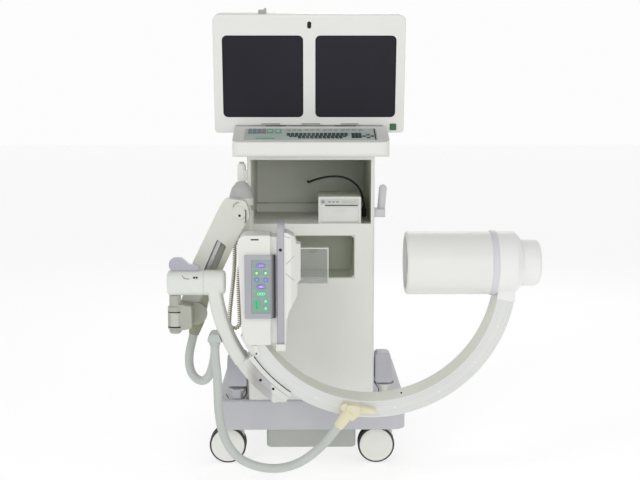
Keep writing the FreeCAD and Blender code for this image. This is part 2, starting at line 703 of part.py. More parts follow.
def make_monitor():
    """The double screen housing on its hinge."""
    half = MON_W / 2
    notch = MON_NOTCH_W / 2
    points = [
        (-half, 0), (-notch, 0), (-notch, MON_BOTTOM_DROP), (notch, MON_BOTTOM_DROP), (notch, 0),
        (half, 0), (half, MON_H), (-half, MON_H)]
    r = MON_CORNER_R
    radii = [12, 6, 4, 4, 6, 12, r, r]
    front = prism("xz", points, 0, BEZEL_T, radii)
    front = front.makeFillet(5.0, [e for e in front.Edges if e.BoundBox.YMax < 0.1])
    rear = prism("xz", points, BEZEL_T, MON_D, radii)
    low_back = plate("xz", -notch - 20, notch + 20, MON_BOTTOM_DROP + 10, MON_H - 30, MON_D - 2, MON_D + 22, 30.0)
    low_back = low_back.makeFillet(10.0, [e for e in low_back.Edges if e.BoundBox.YMin > MON_D + 21.9])
    rear = fuse(rear, low_back)
    vents = []
    for i in range(10):
        x = -130 + i * 27
        vents.append(plate("xz", x, x + 16, MON_H - 90, MON_H - 50, MON_D + 12, MON_D + 30, 5.0))
    hollow = plate("xz", -half + 12, half - 12, MON_BOTTOM_DROP + 20, MON_H - 12, BEZEL_T - 1, MON_D - 14, 14.0)
    axis_y = HINGE_Y - MON_FRONT_Y
    knuckles = []
    for x0, x1 in pedestal_spans():
        knuckles.append(box(x0 - 1 - MON_X, x1 + 1 - MON_X, BEZEL_T, MON_D + 30, -1, MON_BOTTOM_DROP + 14))
    bore = rod(HINGE_BAR_R + FIT, (-half, axis_y, MON_BOTTOM_DROP), (half, axis_y, MON_BOTTOM_DROP))
    barrel = rod(HINGE_R, (-notch + 2, axis_y, MON_BOTTOM_DROP), (notch - 2, axis_y, MON_BOTTOM_DROP))
    rear = fuse(rear, barrel).cut(vents + [hollow, bore] + knuckles)
    z0 = SCREEN_LOW
    windows, screens = [], []
    for side in (-1, 1):
        x0 = side * (SCREEN_GAP / 2 + SCREEN_W / 2) - SCREEN_W / 2
        windows.append(plate("xz", x0, x0 + SCREEN_W, z0, z0 + SCREEN_H, -1, BEZEL_T + 1, SCREEN_R))
        screens.append(plate(
            "xz", x0, x0 + SCREEN_W, z0, z0 + SCREEN_H, SCREEN_RECESS, SCREEN_RECESS + SCREEN_T, SCREEN_R))
    key = plate("xz", BUTTON_X - BUTTON_SIZE / 2 - 0.3, BUTTON_X + BUTTON_SIZE / 2 + 0.3,
                BUTTON_UP - BUTTON_SIZE / 2 - 0.3, BUTTON_UP + BUTTON_SIZE / 2 + 0.3, -1, 8.0, 3.0)
    lens = rod(5.0, (0, -1, MON_H - 34), (0, 4, MON_H - 34))
    front = front.cut(windows + [key, lens])
    glass = rod(4.9, (0, 1.0, MON_H - 34), (0, 4, MON_H - 34))
    save("monitor_bezel", mon_place(fuse(front, glass)))
    save("monitor_rear_shell", mon_place(rear))
    save("screen_left", mon_place(screens[0]))
    save("screen_right", mon_place(screens[1]))
    button = plate("xz", BUTTON_X - BUTTON_SIZE / 2, BUTTON_X + BUTTON_SIZE / 2,
                   BUTTON_UP - BUTTON_SIZE / 2, BUTTON_UP + BUTTON_SIZE / 2, -BUTTON_OUT, 8.0 - BUTTON_TRAVEL, 2.5)
    save("power_button", mon_place(button))
    latch = fuse(
        plate("xz", -164, -138, MON_H, MON_H + 12, 20, 40, 3.0),
        plate("xz", -146, -138, MON_H, MON_H + 17, 20, 40, 2.0))
    save("monitor_latch", mon_place(latch))


def make_pedestal():
    """Hinge barrels between the console and the monitor."""
    y, z = HINGE_Y, HINGE_Z
    half = PEDESTAL_W / 2
    floor = CONSOLE_REAR_TOP
    blocks = []
    for x0, x1 in pedestal_spans():
        blocks.append(fuse(
            prism("yz", [(y - HINGE_R, z), (y - HINGE_R - 10, floor), (y + HINGE_R + 40, floor), (y + HINGE_R, z)],
                  x0, x1),
            rod(HINGE_R, (x0, y, z), (x1, y, z))))
    bar = rod(HINGE_BAR_R, (-half - 30, y, z), (half + 30, y, z))
    base = plate("xy", -half, half, y - HINGE_R - 10, y + HINGE_R + 40, floor, floor + 5, 4.0)
    save("monitor_pedestal", fuse(base, bar, *blocks))


def make_hand_switch():
    """A hand switch in a clip on the cabinet's left wall, with its trigger on top."""
    x, y = SWITCH_X, SWITCH_Y
    wall = -CAB_W / 2
    z0, z1 = SWITCH_Z0 + 8, SWITCH_Z0 + 42
    clip = fuse(
        rod(SWITCH_R + 3.5, (x, y, z0), (x, y, z1)),
        box(x, wall, y - 12, y + 12, z0, z1))
    opening = box(x - 30, x, y - 40, y + 40, z0 - 1, z1 + 1)
    clip = clip.cut([rod(SWITCH_R + 0.3, (x, y, z0 - 1), (x, y, z1 + 1)), opening])
    save("switch_clip", clip)
    body = revolve(
        [(0, 0), (SWITCH_R - 5, 0), (SWITCH_R, 6), (SWITCH_R, SWITCH_Z1 - SWITCH_Z0 - 6),
         (SWITCH_R - 3, SWITCH_Z1 - SWITCH_Z0), (0, SWITCH_Z1 - SWITCH_Z0)],
        (x, y, SWITCH_Z0), (0, 0, 1))
    top = SWITCH_Z1
    well = rod(TRIGGER_R + 0.3, (x, y, top - TRIGGER_TRAVEL - 3), (x, y, top + 1))
    save("hand_switch", body.cut(well))
    save("switch_trigger", rod(TRIGGER_R, (x, y, top - 2.5), (x, y, top + TRIGGER_OUT)))


def make_shoulder():
    """The bracket on the cabinet, the swivelling shoulder and its dome."""
    wall = -CAB_W / 2
    x, y = SWIVEL_X, SWIVEL_Y
    pin_r = STEM_R + 4.0
    z0, z1 = SHOULDER_Z0, SHOULDER_Z1
    arms = []
    lug_t = 16.0
    for z in (z0 - lug_t - RUN_GAP, z1 - 40.0):
        arms.append(prism(
            "xy", [(x - 24, y - 24), (x + 24, y - 24), (wall + 20, CAB_FRONT - 6), (wall + 20, CAB_FRONT),
                   (wall, CAB_FRONT), (wall, CAB_FRONT + 70), (x - 24, y + 10)], z, z + lug_t,
            [20, 14, 4, 0, 0, 3, 18]))
    spine = box(wall - 12, wall, CAB_FRONT, CAB_FRONT + 70, z0 - lug_t - RUN_GAP, z1 - 40.0 + lug_t)
    pin = rod(pin_r, (x, y, z0 - lug_t - RUN_GAP), (x, y, z1 + 6))
    save("arm_bracket", fuse(spine, pin, *arms))

    post = revolve(
        [(0, z0), (SHOULDER_R - 6, z0), (SHOULDER_R, z0 + 8), (SHOULDER_R, z1), (0, z1)], (x, y, 0), (0, 0, 1))
    back_plate = plate(
        "xz", SWIVEL_X - 8, SWIVEL_X + SHOULDER_R - 12, z0 + 14, z1 - 4, ARM_Y + ARM_DEPTH / 2 + RUN_GAP,
        y, [14, 14, 8, 8])
    flange = rod(
        FLANGE_R, (PIVOT_TOP_X, ARM_Y + ARM_DEPTH / 2 + RUN_GAP, PIVOT_TOP_Z),
        (PIVOT_TOP_X, ARM_Y + ARM_DEPTH / 2 + RUN_GAP + FLANGE_T, PIVOT_TOP_Z))
    pin_y0 = ARM_Y - ARM_DEPTH / 2 + ARM_WALL / 2
    pin_y1 = ARM_Y + ARM_DEPTH / 2 + RUN_GAP + 2
    pivot = rod(PIVOT_R, (PIVOT_TOP_X, pin_y0, PIVOT_TOP_Z), (PIVOT_TOP_X, pin_y1, PIVOT_TOP_Z))
    small = rod(
        ROD_PIN_R, (PIVOT_TOP_X + ROD_DX, ARM_Y, PIVOT_TOP_Z + ROD_DZ),
        (PIVOT_TOP_X + ROD_DX, pin_y1, PIVOT_TOP_Z + ROD_DZ))
    block = fuse(post, back_plate, flange)
    gap_z0 = z1 - 40.0 - RUN_GAP
    swing = rod(SHOULDER_R + 30, (x, y, gap_z0), (x, y, gap_z0 + lug_t + 2 * RUN_GAP))
    keep = box(x - 90, x + 90, y - 90, y - 30, gap_z0 - 1, gap_z0 + lug_t + 4)
    block = block.cut(swing.cut(keep))
    block = block.cut(rod(pin_r + FIT, (x, y, z0 - 1), (x, y, z1 + 6 + RUN_GAP)))
    save("shoulder_block", fuse(block, pivot, small))
    dome = revolve(
        [(0, 0), (SHOULDER_R, 0), (SHOULDER_R, 6), (SHOULDER_R - 8, DOME_H - 20), (SHOULDER_R - 24, DOME_H), (0, DOME_H)],
        (x, y, z1), (0, 0, 1), [0, 0, 0, 14, 12, 0])
    dome = dome.cut(rod(pin_r + 1, (x, y, z1 - 1), (x, y, z1 + 6 + RUN_GAP)))
    save("shoulder_dome", dome)


def arm_outline(inset=0.0):
    """The lifting arm seen from the front, as points and corner radii."""
    points = [
        (-273, 918), (-292, 884), (-377, 711), (-414, 590), (-408, ARM_FOOT_Z), (-345, ARM_FOOT_Z),
        (-328, 590), (-284, 684), (-241, 775), (-193, 862), (-205, 910)]
    radii = [18, 20, 200, 60, 26, 24, 60, 200, 200, 24, 20]
    if inset:
        points = [
            (-268, 910), (-282, 880), (-368, 709), (-404, 590), (-399, 527), (-352, 527),
            (-337, 590), (-293, 688), (-250, 779), (-203, 862), (-212, 902)]
        radii = [10, 12, 190, 50, 16, 14, 70, 210, 210, 16, 12]
    return points, radii


def kidney(cx, cz, a0, a1, radius, r, y0, y1):
    """An arc-shaped slot about a pivot."""
    steps = []
    half = []
    for a in (a0, (a0 + a1) / 2, a1):
        t = math.radians(a)
        steps.append(Vector(cx + (radius + r) * math.cos(t), y0, cz + (radius + r) * math.sin(t)))
        half.append(Vector(cx + (radius - r) * math.cos(t), y0, cz + (radius - r) * math.sin(t)))
    edges = [
        Part.Arc(*steps).toShape(), Part.LineSegment(steps[2], half[2]).toShape(),
        Part.Arc(half[2], half[1], half[0]).toShape(), Part.LineSegment(half[0], steps[0]).toShape()]
    face = Part.Face(Part.Wire(edges))
    body = face.extrude(Vector(0, y1 - y0, 0))
    ends = []
    for a in (a0, a1):
        t = math.radians(a)
        x, z = cx + radius * math.cos(t), cz + radius * math.sin(t)
        ends.append(rod(r, (x, y0, z), (x, y1, z)))
    return fuse(body, *ends)


def make_arm():
    """The hollow lifting arm, the levelling rod inside it and the knuckle at its lower end."""
    y0, y1 = ARM_Y - ARM_DEPTH / 2, ARM_Y + ARM_DEPTH / 2
    points, radii = arm_outline()
    shell = prism("xz", points, y0, y1, radii)
    inner, inner_radii = arm_outline(inset=ARM_WALL)
    shell = shell.cut(prism("xz", inner, y0 + ARM_WALL, y1 - ARM_WALL, inner_radii))
    window = prism(
        "xz", [(-296, 790), (-268, 766), (-322, 640), (-352, 612), (-352, 664)], y0 - 1, y0 + ARM_WALL + 1,
        [6, 6, 10, 6, 10])
    shell = shell.cut(window)
    rod_angle = math.degrees(math.atan2(ROD_DZ, ROD_DX))
    reach = math.hypot(ROD_DX, ROD_DZ)
    slot_r = ROD_PIN_R + 1.0
    # the arm turns about a fixed pin, so seen from the arm the pin moves the other way
    a0, a1 = rod_angle - LIFT_DOWN - SLOT_SPARE, rod_angle + LIFT_UP + SLOT_SPARE
    top_slot = kidney(
        PIVOT_TOP_X, PIVOT_TOP_Z, a0, a1, reach, slot_r, y1 - ARM_WALL - 1, y1 + 1)
    low_slot = kidney(PIVOT_LOW_X, PIVOT_LOW_Z, a0, a1, reach, slot_r, y0 - 1, y0 + ARM_WALL + 1)
    bore = PIVOT_R + FIT
    top_bore = rod(bore, (PIVOT_TOP_X, y0 + ARM_WALL / 2 - FIT, PIVOT_TOP_Z), (PIVOT_TOP_X, y1 + 1, PIVOT_TOP_Z))
    low_bore = rod(bore, (PIVOT_LOW_X, y0 - 1, PIVOT_LOW_Z), (PIVOT_LOW_X, y1 - ARM_WALL / 2 + FIT, PIVOT_LOW_Z))
    shell = shell.cut([top_slot, low_slot, top_bore, low_bore])
    cap = rod(PIVOT_CAP_R, (PIVOT_TOP_X, y0 - 3, PIVOT_TOP_Z), (PIVOT_TOP_X, y0, PIVOT_TOP_Z))
    cap = cap.makeFillet(2.0, [e for e in cap.Edges if e.BoundBox.YMax < y0 - 2.9])
    save("flex_arm", fuse(shell, cap))

    dx, dz = PIVOT_LOW_X - PIVOT_TOP_X, PIVOT_LOW_Z - PIVOT_TOP_Z
    length = math.hypot(dx, dz)
    rod_y0, rod_y1 = ARM_Y + 2.0, ARM_Y + 2.0 + ROD_W
    top = (PIVOT_TOP_X + ROD_DX, PIVOT_TOP_Z + ROD_DZ)
    tie = box(-ROD_W / 2, ROD_W / 2, rod_y0, rod_y1, -length, 0)
    tie.rotate(Vector(0, 0, 0), Vector(0, 1, 0), 180 + math.degrees(math.atan2(dx, dz)))
    tie.translate(Vector(top[0], 0, top[1]))
    eyes, holes = [], []
    for x, z in (top, (top[0] + dx, top[1] + dz)):
        eyes.append(rod(ROD_PIN_R + 4.5, (x, rod_y0, z), (x, rod_y1, z)))
        holes.append(rod(ROD_PIN_R + (FIT if (x, z) == top else 0.4), (x, rod_y0 - 1, z), (x, rod_y1 + 1, z)))
    save("tie_rod", fuse(tie, *eyes).cut(holes))


def make_knuckle():
    """The level-kept knuckle that carries the upright spindle."""
    y0 = ARM_Y - ARM_DEPTH / 2
    px, pz = PIVOT_LOW_X, PIVOT_LOW_Z
    flange_y1 = y0 - RUN_GAP
    flange_y0 = flange_y1 - FLANGE_T
    flange = rod(FLANGE_R, (px, flange_y0, pz), (px, flange_y1, pz))
    block = prism(
        "xz", [(SPINDLE_X, pz - 44), (px - 6, pz - 34), (px - 6, pz + 34), (SPINDLE_X, pz + 44)],
        RING_Y - 16, flange_y1 - 2, [0, 8, 8, 0])
    collar = rod(SPINDLE_R + 5, (SPINDLE_X, RING_Y, pz - 36), (SPINDLE_X, RING_Y, pz + 34))
    spindle = rod(SPINDLE_R, (SPINDLE_X, RING_Y, SPINDLE_Z0 + 8), (SPINDLE_X, RING_Y, YOKE_Z - YOKE_H / 2 - RUN_GAP))
    cap = revolve(
        [(0, 0), (SPINDLE_R - 4, 0), (SPINDLE_R + 1, 5), (SPINDLE_R + 1, 12), (0, 12)],
        (SPINDLE_X, RING_Y, SPINDLE_Z0), (0, 0, 1))
    journal = rod(SPINDLE_R - 5, (SPINDLE_X, RING_Y, YOKE_Z - YOKE_H / 2 - 2), (SPINDLE_X, RING_Y, YOKE_Z + YOKE_H / 2 - 6))
    pivot = rod(PIVOT_R, (px, flange_y1 - 2, pz), (px, y0 + ARM_DEPTH - ARM_WALL / 2, pz))
    small = rod(ROD_PIN_R, (px + ROD_DX, flange_y1 - 2, pz + ROD_DZ), (px + ROD_DX, ARM_Y + 2 + ROD_W, pz + ROD_DZ))
    save("knuckle", fuse(flange, block, collar, spindle, cap, journal, pivot, small))


def make_yoke():
    """The yoke housing on the spindle, with its lock lever."""
    z0, z1 = YOKE_Z - YOKE_H / 2, YOKE_Z + YOKE_H / 2
    y0, y1 = RING_Y - YOKE_D / 2, RING_Y + YOKE_D / 2
    body = prism("yz", [(y0, z0), (y1, z0), (y1, z1), (y0, z1)], YOKE_X0, YOKE_X1, 30.0)
    body = body.makeFillet(7.0, [e for e in body.Edges if e.BoundBox.XMax < YOKE_X0 + 0.1])
    socket = rod(SPINDLE_R - 5 + FIT, (SPINDLE_X, RING_Y, z0 - 1), (SPINDLE_X, RING_Y, z1 - 6 + RUN_GAP))
    journal = rod(AXLE_JOURNAL_R + FIT, (SPINDLE_X + SPINDLE_R, RING_Y, YOKE_Z), (YOKE_X1 + 1, RING_Y, YOKE_Z))
    seat = rod(8.0 + FIT, (LEVER_TIP_X - 12, RING_Y, z1 - 8), (LEVER_TIP_X - 12, RING_Y, z1 + 1))
    save("yoke_housing", body.cut([socket, journal, seat]))
    px = LEVER_TIP_X - 12
    lever_low = z1 + RUN_GAP
    grip = prism(
        "xz",
        [(px + 14, lever_low), (px + 14, lever_low + 15), (px - 18, lever_low + 19), (LEVER_BULB_X + 16, lever_low + 40),
         (LEVER_BULB_X - 22, lever_low + 40), (LEVER_BULB_X - 22, lever_low)],
        RING_Y - 14, RING_Y + 14, [5, 5, 24, 16, 19, 16])
    pivot = rod(8.0, (px, RING_Y, z1 - 8 + FIT), (px, RING_Y, lever_low + 6))
    save("lock_lever", fuse(grip, pivot))


def make_rotor():
    """The rotor that turns in the yoke, with its curved strut, the carriage and its track rollers."""
    z0, z1 = YOKE_Z - YOKE_H / 2, YOKE_Z + YOKE_H / 2
    y0, y1 = RING_Y - YOKE_D / 2, RING_Y + YOKE_D / 2
    x0 = YOKE_X1 + RUN_GAP
    drum = prism("yz", [(y0, z0), (y1, z0), (y1, z1), (y0, z1)], x0, ROTOR_X1, 30.0)
    drum = drum.makeFillet(12.0, [e for e in drum.Edges if e.BoundBox.XMin > ROTOR_X1 - 0.1])
    journal = rod(AXLE_JOURNAL_R, (SPINDLE_X + SPINDLE_R + RUN_GAP, RING_Y, YOKE_Z), (x0 + 2, RING_Y, YOKE_Z))
    half = STRUT_DEPTH / 2
    strut = ring_sector(STRUT_R0, STRUT_R1, STRUT_START, CARRIAGE_A0, RING_Y - half, RING_Y + half)
    curved = [e for e in strut.Edges if e.Length > 100]
    strut = strut.makeFillet(10.0, curved)
    save("rotor_strut", fuse(drum, journal, strut))

    inner = RING_R + RUN_GAP * 4
    shoe = ring_sector(inner, STRUT_R1 - CARRIAGE_STEP, CARRIAGE_A0, CARRIAGE_A1, RING_Y - half, RING_Y + half)
    wedge_x, wedge_z = ring_point(STRUT_R1 + 40, CARRIAGE_A1 + 3)
    trim = rod(70.0, (wedge_x, RING_Y - 60, wedge_z), (wedge_x, RING_Y + 60, wedge_z))
    shoe = shoe.cut(trim)
    lip_y0 = RING_Y - RING_DEPTH / 2 - RUN_GAP - CARRIAGE_LIP_T
    lip = ring_sector(RING_R - CARRIAGE_LIP, STRUT_R0 + CARRIAGE_LAP, CARRIAGE_A0, CARRIAGE_A1, lip_y0, lip_y0 + CARRIAGE_LIP_T)
    side = ring_sector(inner, STRUT_R0 + CARRIAGE_LAP, CARRIAGE_A0, CARRIAGE_A1, lip_y0, RING_Y - half + 2)
    back = ring_sector(inner, STRUT_R0 + CARRIAGE_LAP, CARRIAGE_A0, CARRIAGE_A1, RING_Y + half - 2, RING_Y + RING_DEPTH / 2)
    stems, rollers = [], []
    for a in ROLLER_ANGLES:
        x, z = ring_point(ROLLER_PATH_R, a)
        x1, z1 = ring_point(inner + 6, a)
        stems.append(rod(6.0, (x, RING_Y, z), (x1, RING_Y, z1)))
        stems.append(rod(3.5, (x, RING_Y - TRACK_W / 2 + 1.5, z), (x, RING_Y + TRACK_W / 2 - 1.5, z)))
        for side_y in (-1, 1):
            a_y = RING_Y + side_y * (TRACK_SLOT / 2 + 1.0)
            b_y = RING_Y + side_y * (TRACK_W / 2 - 2.0)
            wheel = rod(ROLLER_R, (x, a_y, z), (x, b_y, z))
            rollers.append(wheel.cut(rod(3.5 + FIT, (x, a_y - side_y, z), (x, b_y + side_y, z))))
    save("carriage", fuse(shoe, lip, side, back, *stems))
    save("carriage_rollers", Part.makeCompound(rollers))


def make_arc():
    """The C: a hollow ring section with a roller track in its outer rim."""
    half = RING_DEPTH / 2
    r0, r1 = RING_R - RING_T, RING_R
    beam = ring_sector(r0, r1, ARC_START, ARC_END, RING_Y - half, RING_Y + half)
    beam = beam.makeFillet(5.0, [e for e in beam.Edges if e.Length > 600])
    channel_r = r1 - TRACK_T
    floor_r = channel_r - 2 * (ROLLER_R + ROLLER_PLAY)
    a0, a1 = ARC_START - 1, ARC_END + 1
    cavity = ring_sector(floor_r, channel_r, a0, a1, RING_Y - TRACK_W / 2, RING_Y + TRACK_W / 2)
    slot = ring_sector(channel_r - 1, r1 + 1, a0, a1, RING_Y - TRACK_SLOT / 2, RING_Y + TRACK_SLOT / 2)
    hollow = ring_sector(
        r0 + RING_WALL, floor_r - RING_WALL, a0, a1, RING_Y - half + RING_WALL, RING_Y + half - RING_WALL)
    seat = rod(II_R, (II_X1, RING_Y, BEAM_Z), (II_COLLAR_X1 + 20, RING_Y, BEAM_Z))
    save("arc_beam", beam.cut([cavity, slot, hollow, seat]))


def make_head():
    """The source head: housing, control panel, bumper plate and beam cone."""
    half = HEAD_D / 2
    y0, y1 = RING_Y - half, RING_Y + half
    shape = [
        (HEAD_X0, HEAD_Z1), (HEAD_X1, HEAD_Z1), (HEAD_X1, HEAD_Z0), (HEAD_X0 + 22, HEAD_Z0), (HEAD_X0 + 12, HEAD_Z0 + 50)]
    housing = prism("xz", shape, y0, y1, [26, 5, 5, 18, 40])
    housing = housing.makeFillet(4.0, [e for e in housing.Edges if e.BoundBox.YLength < 0.1 and e.Length > 40])
    neck = box(HEAD_X1, NECK_X1, y0 + 14, y1 - 14, HEAD_Z0 + 6, HEAD_Z1 - 6)
    ring = ring_sector(
        RING_R - RING_T, RING_R, ARC_START, ARC_START + 20, RING_Y - RING_DEPTH / 2, RING_Y + RING_DEPTH / 2)
    tongue = ring_sector(
        RING_R - RING_T + RING_WALL + FIT, RING_R - TRACK_T - 2 * (ROLLER_R + ROLLER_PLAY) - RING_WALL - FIT,
        ARC_START - 1,
        ARC_START + 8, RING_Y - RING_DEPTH / 2 + RING_WALL + FIT, RING_Y + RING_DEPTH / 2 - RING_WALL - FIT)
    slot = plate("xy", HEAD_X0 + 40, HEAD_X0 + 66, y0 + 30, y0 + 40, HEAD_Z1 - 3, HEAD_Z1 + 1, 4.5)
    body = fuse(housing, neck).cut([ring, slot])
    save("head_housing", fuse(body, tongue))

    p0, p1 = PANEL_X0 + 4, PANEL_X1
    frame = prism(
        "xy", [(p0, y0), (p0, y0 - PANEL_T), (p1, y0 - PANEL_T), (p1 + 13, y0 + 3), (p1 + 13, y0 + 13.5), (HEAD_X1, y0 + 13.5),
               (HEAD_X1, y0)],
        PANEL_Z0, PANEL_Z1, [0, 3, 3, 3, 0, 0, 0])
    recess = plate("xz", PANEL_X0 + 24, p1 - 2, PANEL_Z0 + 16, PANEL_Z1 - 14, y0 - PANEL_T - 1, y0 - PANEL_T + 1.5, 3.0)
    frame = frame.cut(recess)
    keys = []
    for kx, kz, w, h in KEY_PADS:
        r = min(w, h) / 2 - 0.1
        keys.append(plate("xz", kx - w / 2, kx + w / 2, kz - h / 2, kz + h / 2, y0 - PANEL_T - 0.5, y0 - PANEL_T + 2, r))
    save("head_panel", fuse(frame, *keys))

    bumper = plate(
        "yz", RING_Y - BUMPER_D / 2, RING_Y + BUMPER_D / 2, BUMPER_Z0, BUMPER_Z1, NECK_X1, NECK_X1 + BUMPER_T, 24.0)
    bumper = bumper.makeFillet(5.0, [e for e in bumper.Edges if e.BoundBox.XLength < 0.1])
    hole = rod(5.0, (NECK_X1 + BUMPER_T / 2, RING_Y - BUMPER_D / 2 - 1, BUMPER_Z1 - 80),
               (NECK_X1 + BUMPER_T / 2, RING_Y - BUMPER_D / 2 + 8, BUMPER_Z1 - 80))
    save("head_bumper", bumper.cut(hole))

    x0 = NECK_X1 + BUMPER_T
    x1 = x0 + CONE_L
    side = prism(
        "xz", [(x0, 823), (x0 + 8, 823), (x0 + 30, 811), (x0 + 38, 787), (x1, 786), (x1, 674), (x0 + 40, 665),
               (x0 + 40, 628), (x0 + 14, 576), (x0 + 7, 549), (x0 + 4, BUMPER_Z0 + 4), (x0, BUMPER_Z0 + 4)],
        RING_Y - 60, RING_Y + 60)
    plan = prism(
        "xy", [(x0, RING_Y - 54), (x0 + 22, RING_Y - 54), (x1, RING_Y - 30), (x1, RING_Y + 30), (x0 + 22, RING_Y + 54),
               (x0, RING_Y + 54)], BUMPER_Z0, BUMPER_Z1)
    window = plate("yz", RING_Y - 22, RING_Y + 22, BEAM_Z - 22, BEAM_Z + 22, x1 - 4, x1 + 1, 4.0)
    save("beam_cone", side.common(plan).cut(window))


def make_intensifier():
    """The image intensifier: a long can with an entrance window, a ring and a rear cap."""
    axis = (1, 0, 0)
    centre = (0, RING_Y, BEAM_Z)
    wall = II_R - II_WALL
    can = revolve(
        [(wall, II_X0 + II_WINDOW_IN + II_WINDOW_T), (wall, II_X1), (II_R, II_X1), (II_R, II_X0 + 5), (II_R - 5, II_X0),
         (II_R - II_LIP, II_X0), (II_R - II_LIP, II_X0 + II_WINDOW_IN), (wall, II_X0 + II_WINDOW_IN)],
        centre, axis)
    save("intensifier_can", can)
    face_x = II_X0 + II_WINDOW_IN
    disc = rod(wall, (face_x, RING_Y, BEAM_Z), (face_x + II_WINDOW_T, RING_Y, BEAM_Z))
    raised = rod(II_R - II_LIP - FIT, (face_x - II_WINDOW_RISE, RING_Y, BEAM_Z), (face_x + 1, RING_Y, BEAM_Z))
    save("intensifier_window", fuse(disc, raised))
    ring = revolve(
        [(0, II_X1), (II_R, II_X1), (II_R + 3, II_X1 + 4), (II_R + 3, II_COLLAR_X0 - 3), (II_R, II_COLLAR_X0),
         (0, II_COLLAR_X0)],
        centre, axis)
    save("intensifier_ring", ring)
    x0 = II_COLLAR_X0
    cap = revolve(
        [(0, x0), (II_R, x0), (II_R, II_COLLAR_X1 - 6), (II_R - II_LIP, II_CAP_X0 + 4), (II_CAP_R, II_CAP_X0 + 6),
         (II_CAP_R, II_CAP_X1), (0, II_CAP_X1)],
        centre, axis, [0, 0, 8, 6, 0, 16, 0])
    save("intensifier_cap", cap)


def make_breakout():
    """The moulded cable branch on the front of the C."""
    y1 = RING_Y - RING_DEPTH / 2
    y = y1 - BREAK_OUT
    a, b = BREAK_START, BREAK_END
    sleeve = cone(CONDUIT_R + 2, CONDUIT_R + 5, (a[0], y, a[1]), (b[0], y, b[1]))
    block = prism(
        "xz", [(100, 262), (124, 244), (148, 262), (150, 290), (112, 296)], y - 15, y1, [8, 8, 10, 10, 12])
    knob = rod(12.0, (103, y - 9, 286), (103, y1, 286))
    spout = cone(13.0, 9.0, (140, y1 - 15, 278), (198, y1 - 15, 268))
    body = fuse(sleeve, block, knob, spout).common(box(60, 260, y - 40, y1, 200, 330))
    # the carriage's front lip passes behind the branch as the C orbits
    pass_y = y1 - RUN_GAP - CARRIAGE_LIP_T - 2.0
    heel = ring_sector(RING_R - CARRIAGE_LIP - 3.0, RING_R + 60.0, 240.0, 285.0, pass_y, y1 + 1)
    save("cable_breakout", body.cut(heel))


def route(points, radius, name):
    """A tube of straight runs joined by tangent arcs through chosen points."""
    pts = [Vector(*p) for p in points]
    edges, at, sharpest = [], pts[0], None
    for i in range(1, len(pts) - 1):
        before, after = pts[i] - pts[i - 1], pts[i + 1] - pts[i]
        turn = before.getAngle(after)
        run = min(before.Length, after.Length)
        reach = 0.45 * run
        bend = reach / math.tan(turn / 2)
        sharpest = bend if sharpest is None else min(sharpest, bend)
        u = Vector(before).normalize()
        v = Vector(after).normalize()
        a, b = pts[i] - u * reach, pts[i] + v * reach
        inward = (v - u).normalize()
        middle = pts[i] + inward * (bend / math.cos(turn / 2) - bend)
        edges.append(Part.LineSegment(at, a).toShape())
        edges.append(Part.Arc(a, middle, b).toShape())
        at = b
    edges.append(Part.LineSegment(at, pts[-1]).toShape())
    path = Part.Wire(edges)
    ring = Part.Wire([Part.Circle(pts[0], pts[1] - pts[0], radius).toShape()])
    tube = path.makePipeShell([ring], True, False)
    share = tube.Volume / (math.pi * radius * radius * path.Length)
    print(name, "radius %.0f length %.0f least bend %.0f volume share %.3f" % (
        radius, path.Length, sharpest, share))
    return tube


def make_conduits():
    """The braided conduit's boot, its clip on the strut and its two runs."""
    end, following = Vector(*CONDUIT_UPPER[0]), Vector(*CONDUIT_UPPER[1])
    start = end + (end - following).normalize() * BOOT_L
    boot = cone(BOOT_R, CONDUIT_R + 2, start, end)
    save("conduit_boot", boot.common(box(start.x - 60, start.x + 60, start.y - 60, start.y + 60, end.z - 9, ARM_FOOT_Z)))
    save("conduit_upper", route(CONDUIT_UPPER, CONDUIT_R, "conduit_upper"))
    save("conduit_lower", route(CONDUIT_LOWER, CONDUIT_R, "conduit_lower"))
    top, low = CONDUIT_UPPER[-1], CONDUIT_LOWER[0]
    z0 = low[2]
    clip = plate("xz", top[0] - 18, -262, z0 + 10, z0 + 34, low[1] - 18, top[1] + 18, [4, 4, 4, 14])
    sockets = [
        rod(CONDUIT_R + 3, (top[0], top[1], z0), (top[0], top[1], z0 + 14)),
        rod(CONDUIT_R + 3, (low[0], low[1], z0), (low[0], low[1], z0 + 14))]
    clip = fuse(clip, *sockets)
    hug = rod(STRUT_R1, (RING_X, RING_Y - 100, RING_Z), (RING_X, RING_Y + 100, RING_Z))
    save("conduit_clip", clip.cut(hug))


def make_small_cords():
    """The hand switch's curly cord and the printer's cable with its plug."""
    save("curly_cord", route(CURLY_CORD, CURLY_R, "curly_cord"))
    cable = route(PRINTER_CABLE, PRINTER_CABLE_R, "printer_cable")
    end = PRINTER_CABLE[-1]
    plug = rod(9.0, (end[0], end[1], end[2] - 40), end)
    save("printer_cable", Part.makeCompound([cable, plug]))


def main():
    os.makedirs("parts", exist_ok=True)
    make_base()
    make_casters()
    make_cabinet()
    make_holder()
    make_printer()
    make_handles()
    make_console()
    make_monitor()
    make_pedestal()
    make_hand_switch()
    make_shoulder()
    make_arm()
    make_knuckle()
    make_yoke()
    make_rotor()
    make_arc()
    make_head()
    make_intensifier()
    make_breakout()
    make_conduits()
    make_small_cords()
    whole = Part.makeCompound(list(BUILT.values())).BoundBox
    print("nodes", len(BUILT), "middle %.1f %.1f floor %.1f size %.0f %.0f %.0f" % (
        whole.Center.x, whole.Center.y, whole.ZMin, whole.XLength, whole.YLength, whole.ZLength))


main()
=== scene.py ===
"""Mobile C-arm x-ray: camera, light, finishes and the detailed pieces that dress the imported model.

Places are written in millimetres from the middle of the cart at floor height, as on the drawing
of the cart, and spot() turns them into metres in the part's frame.
"""

import math

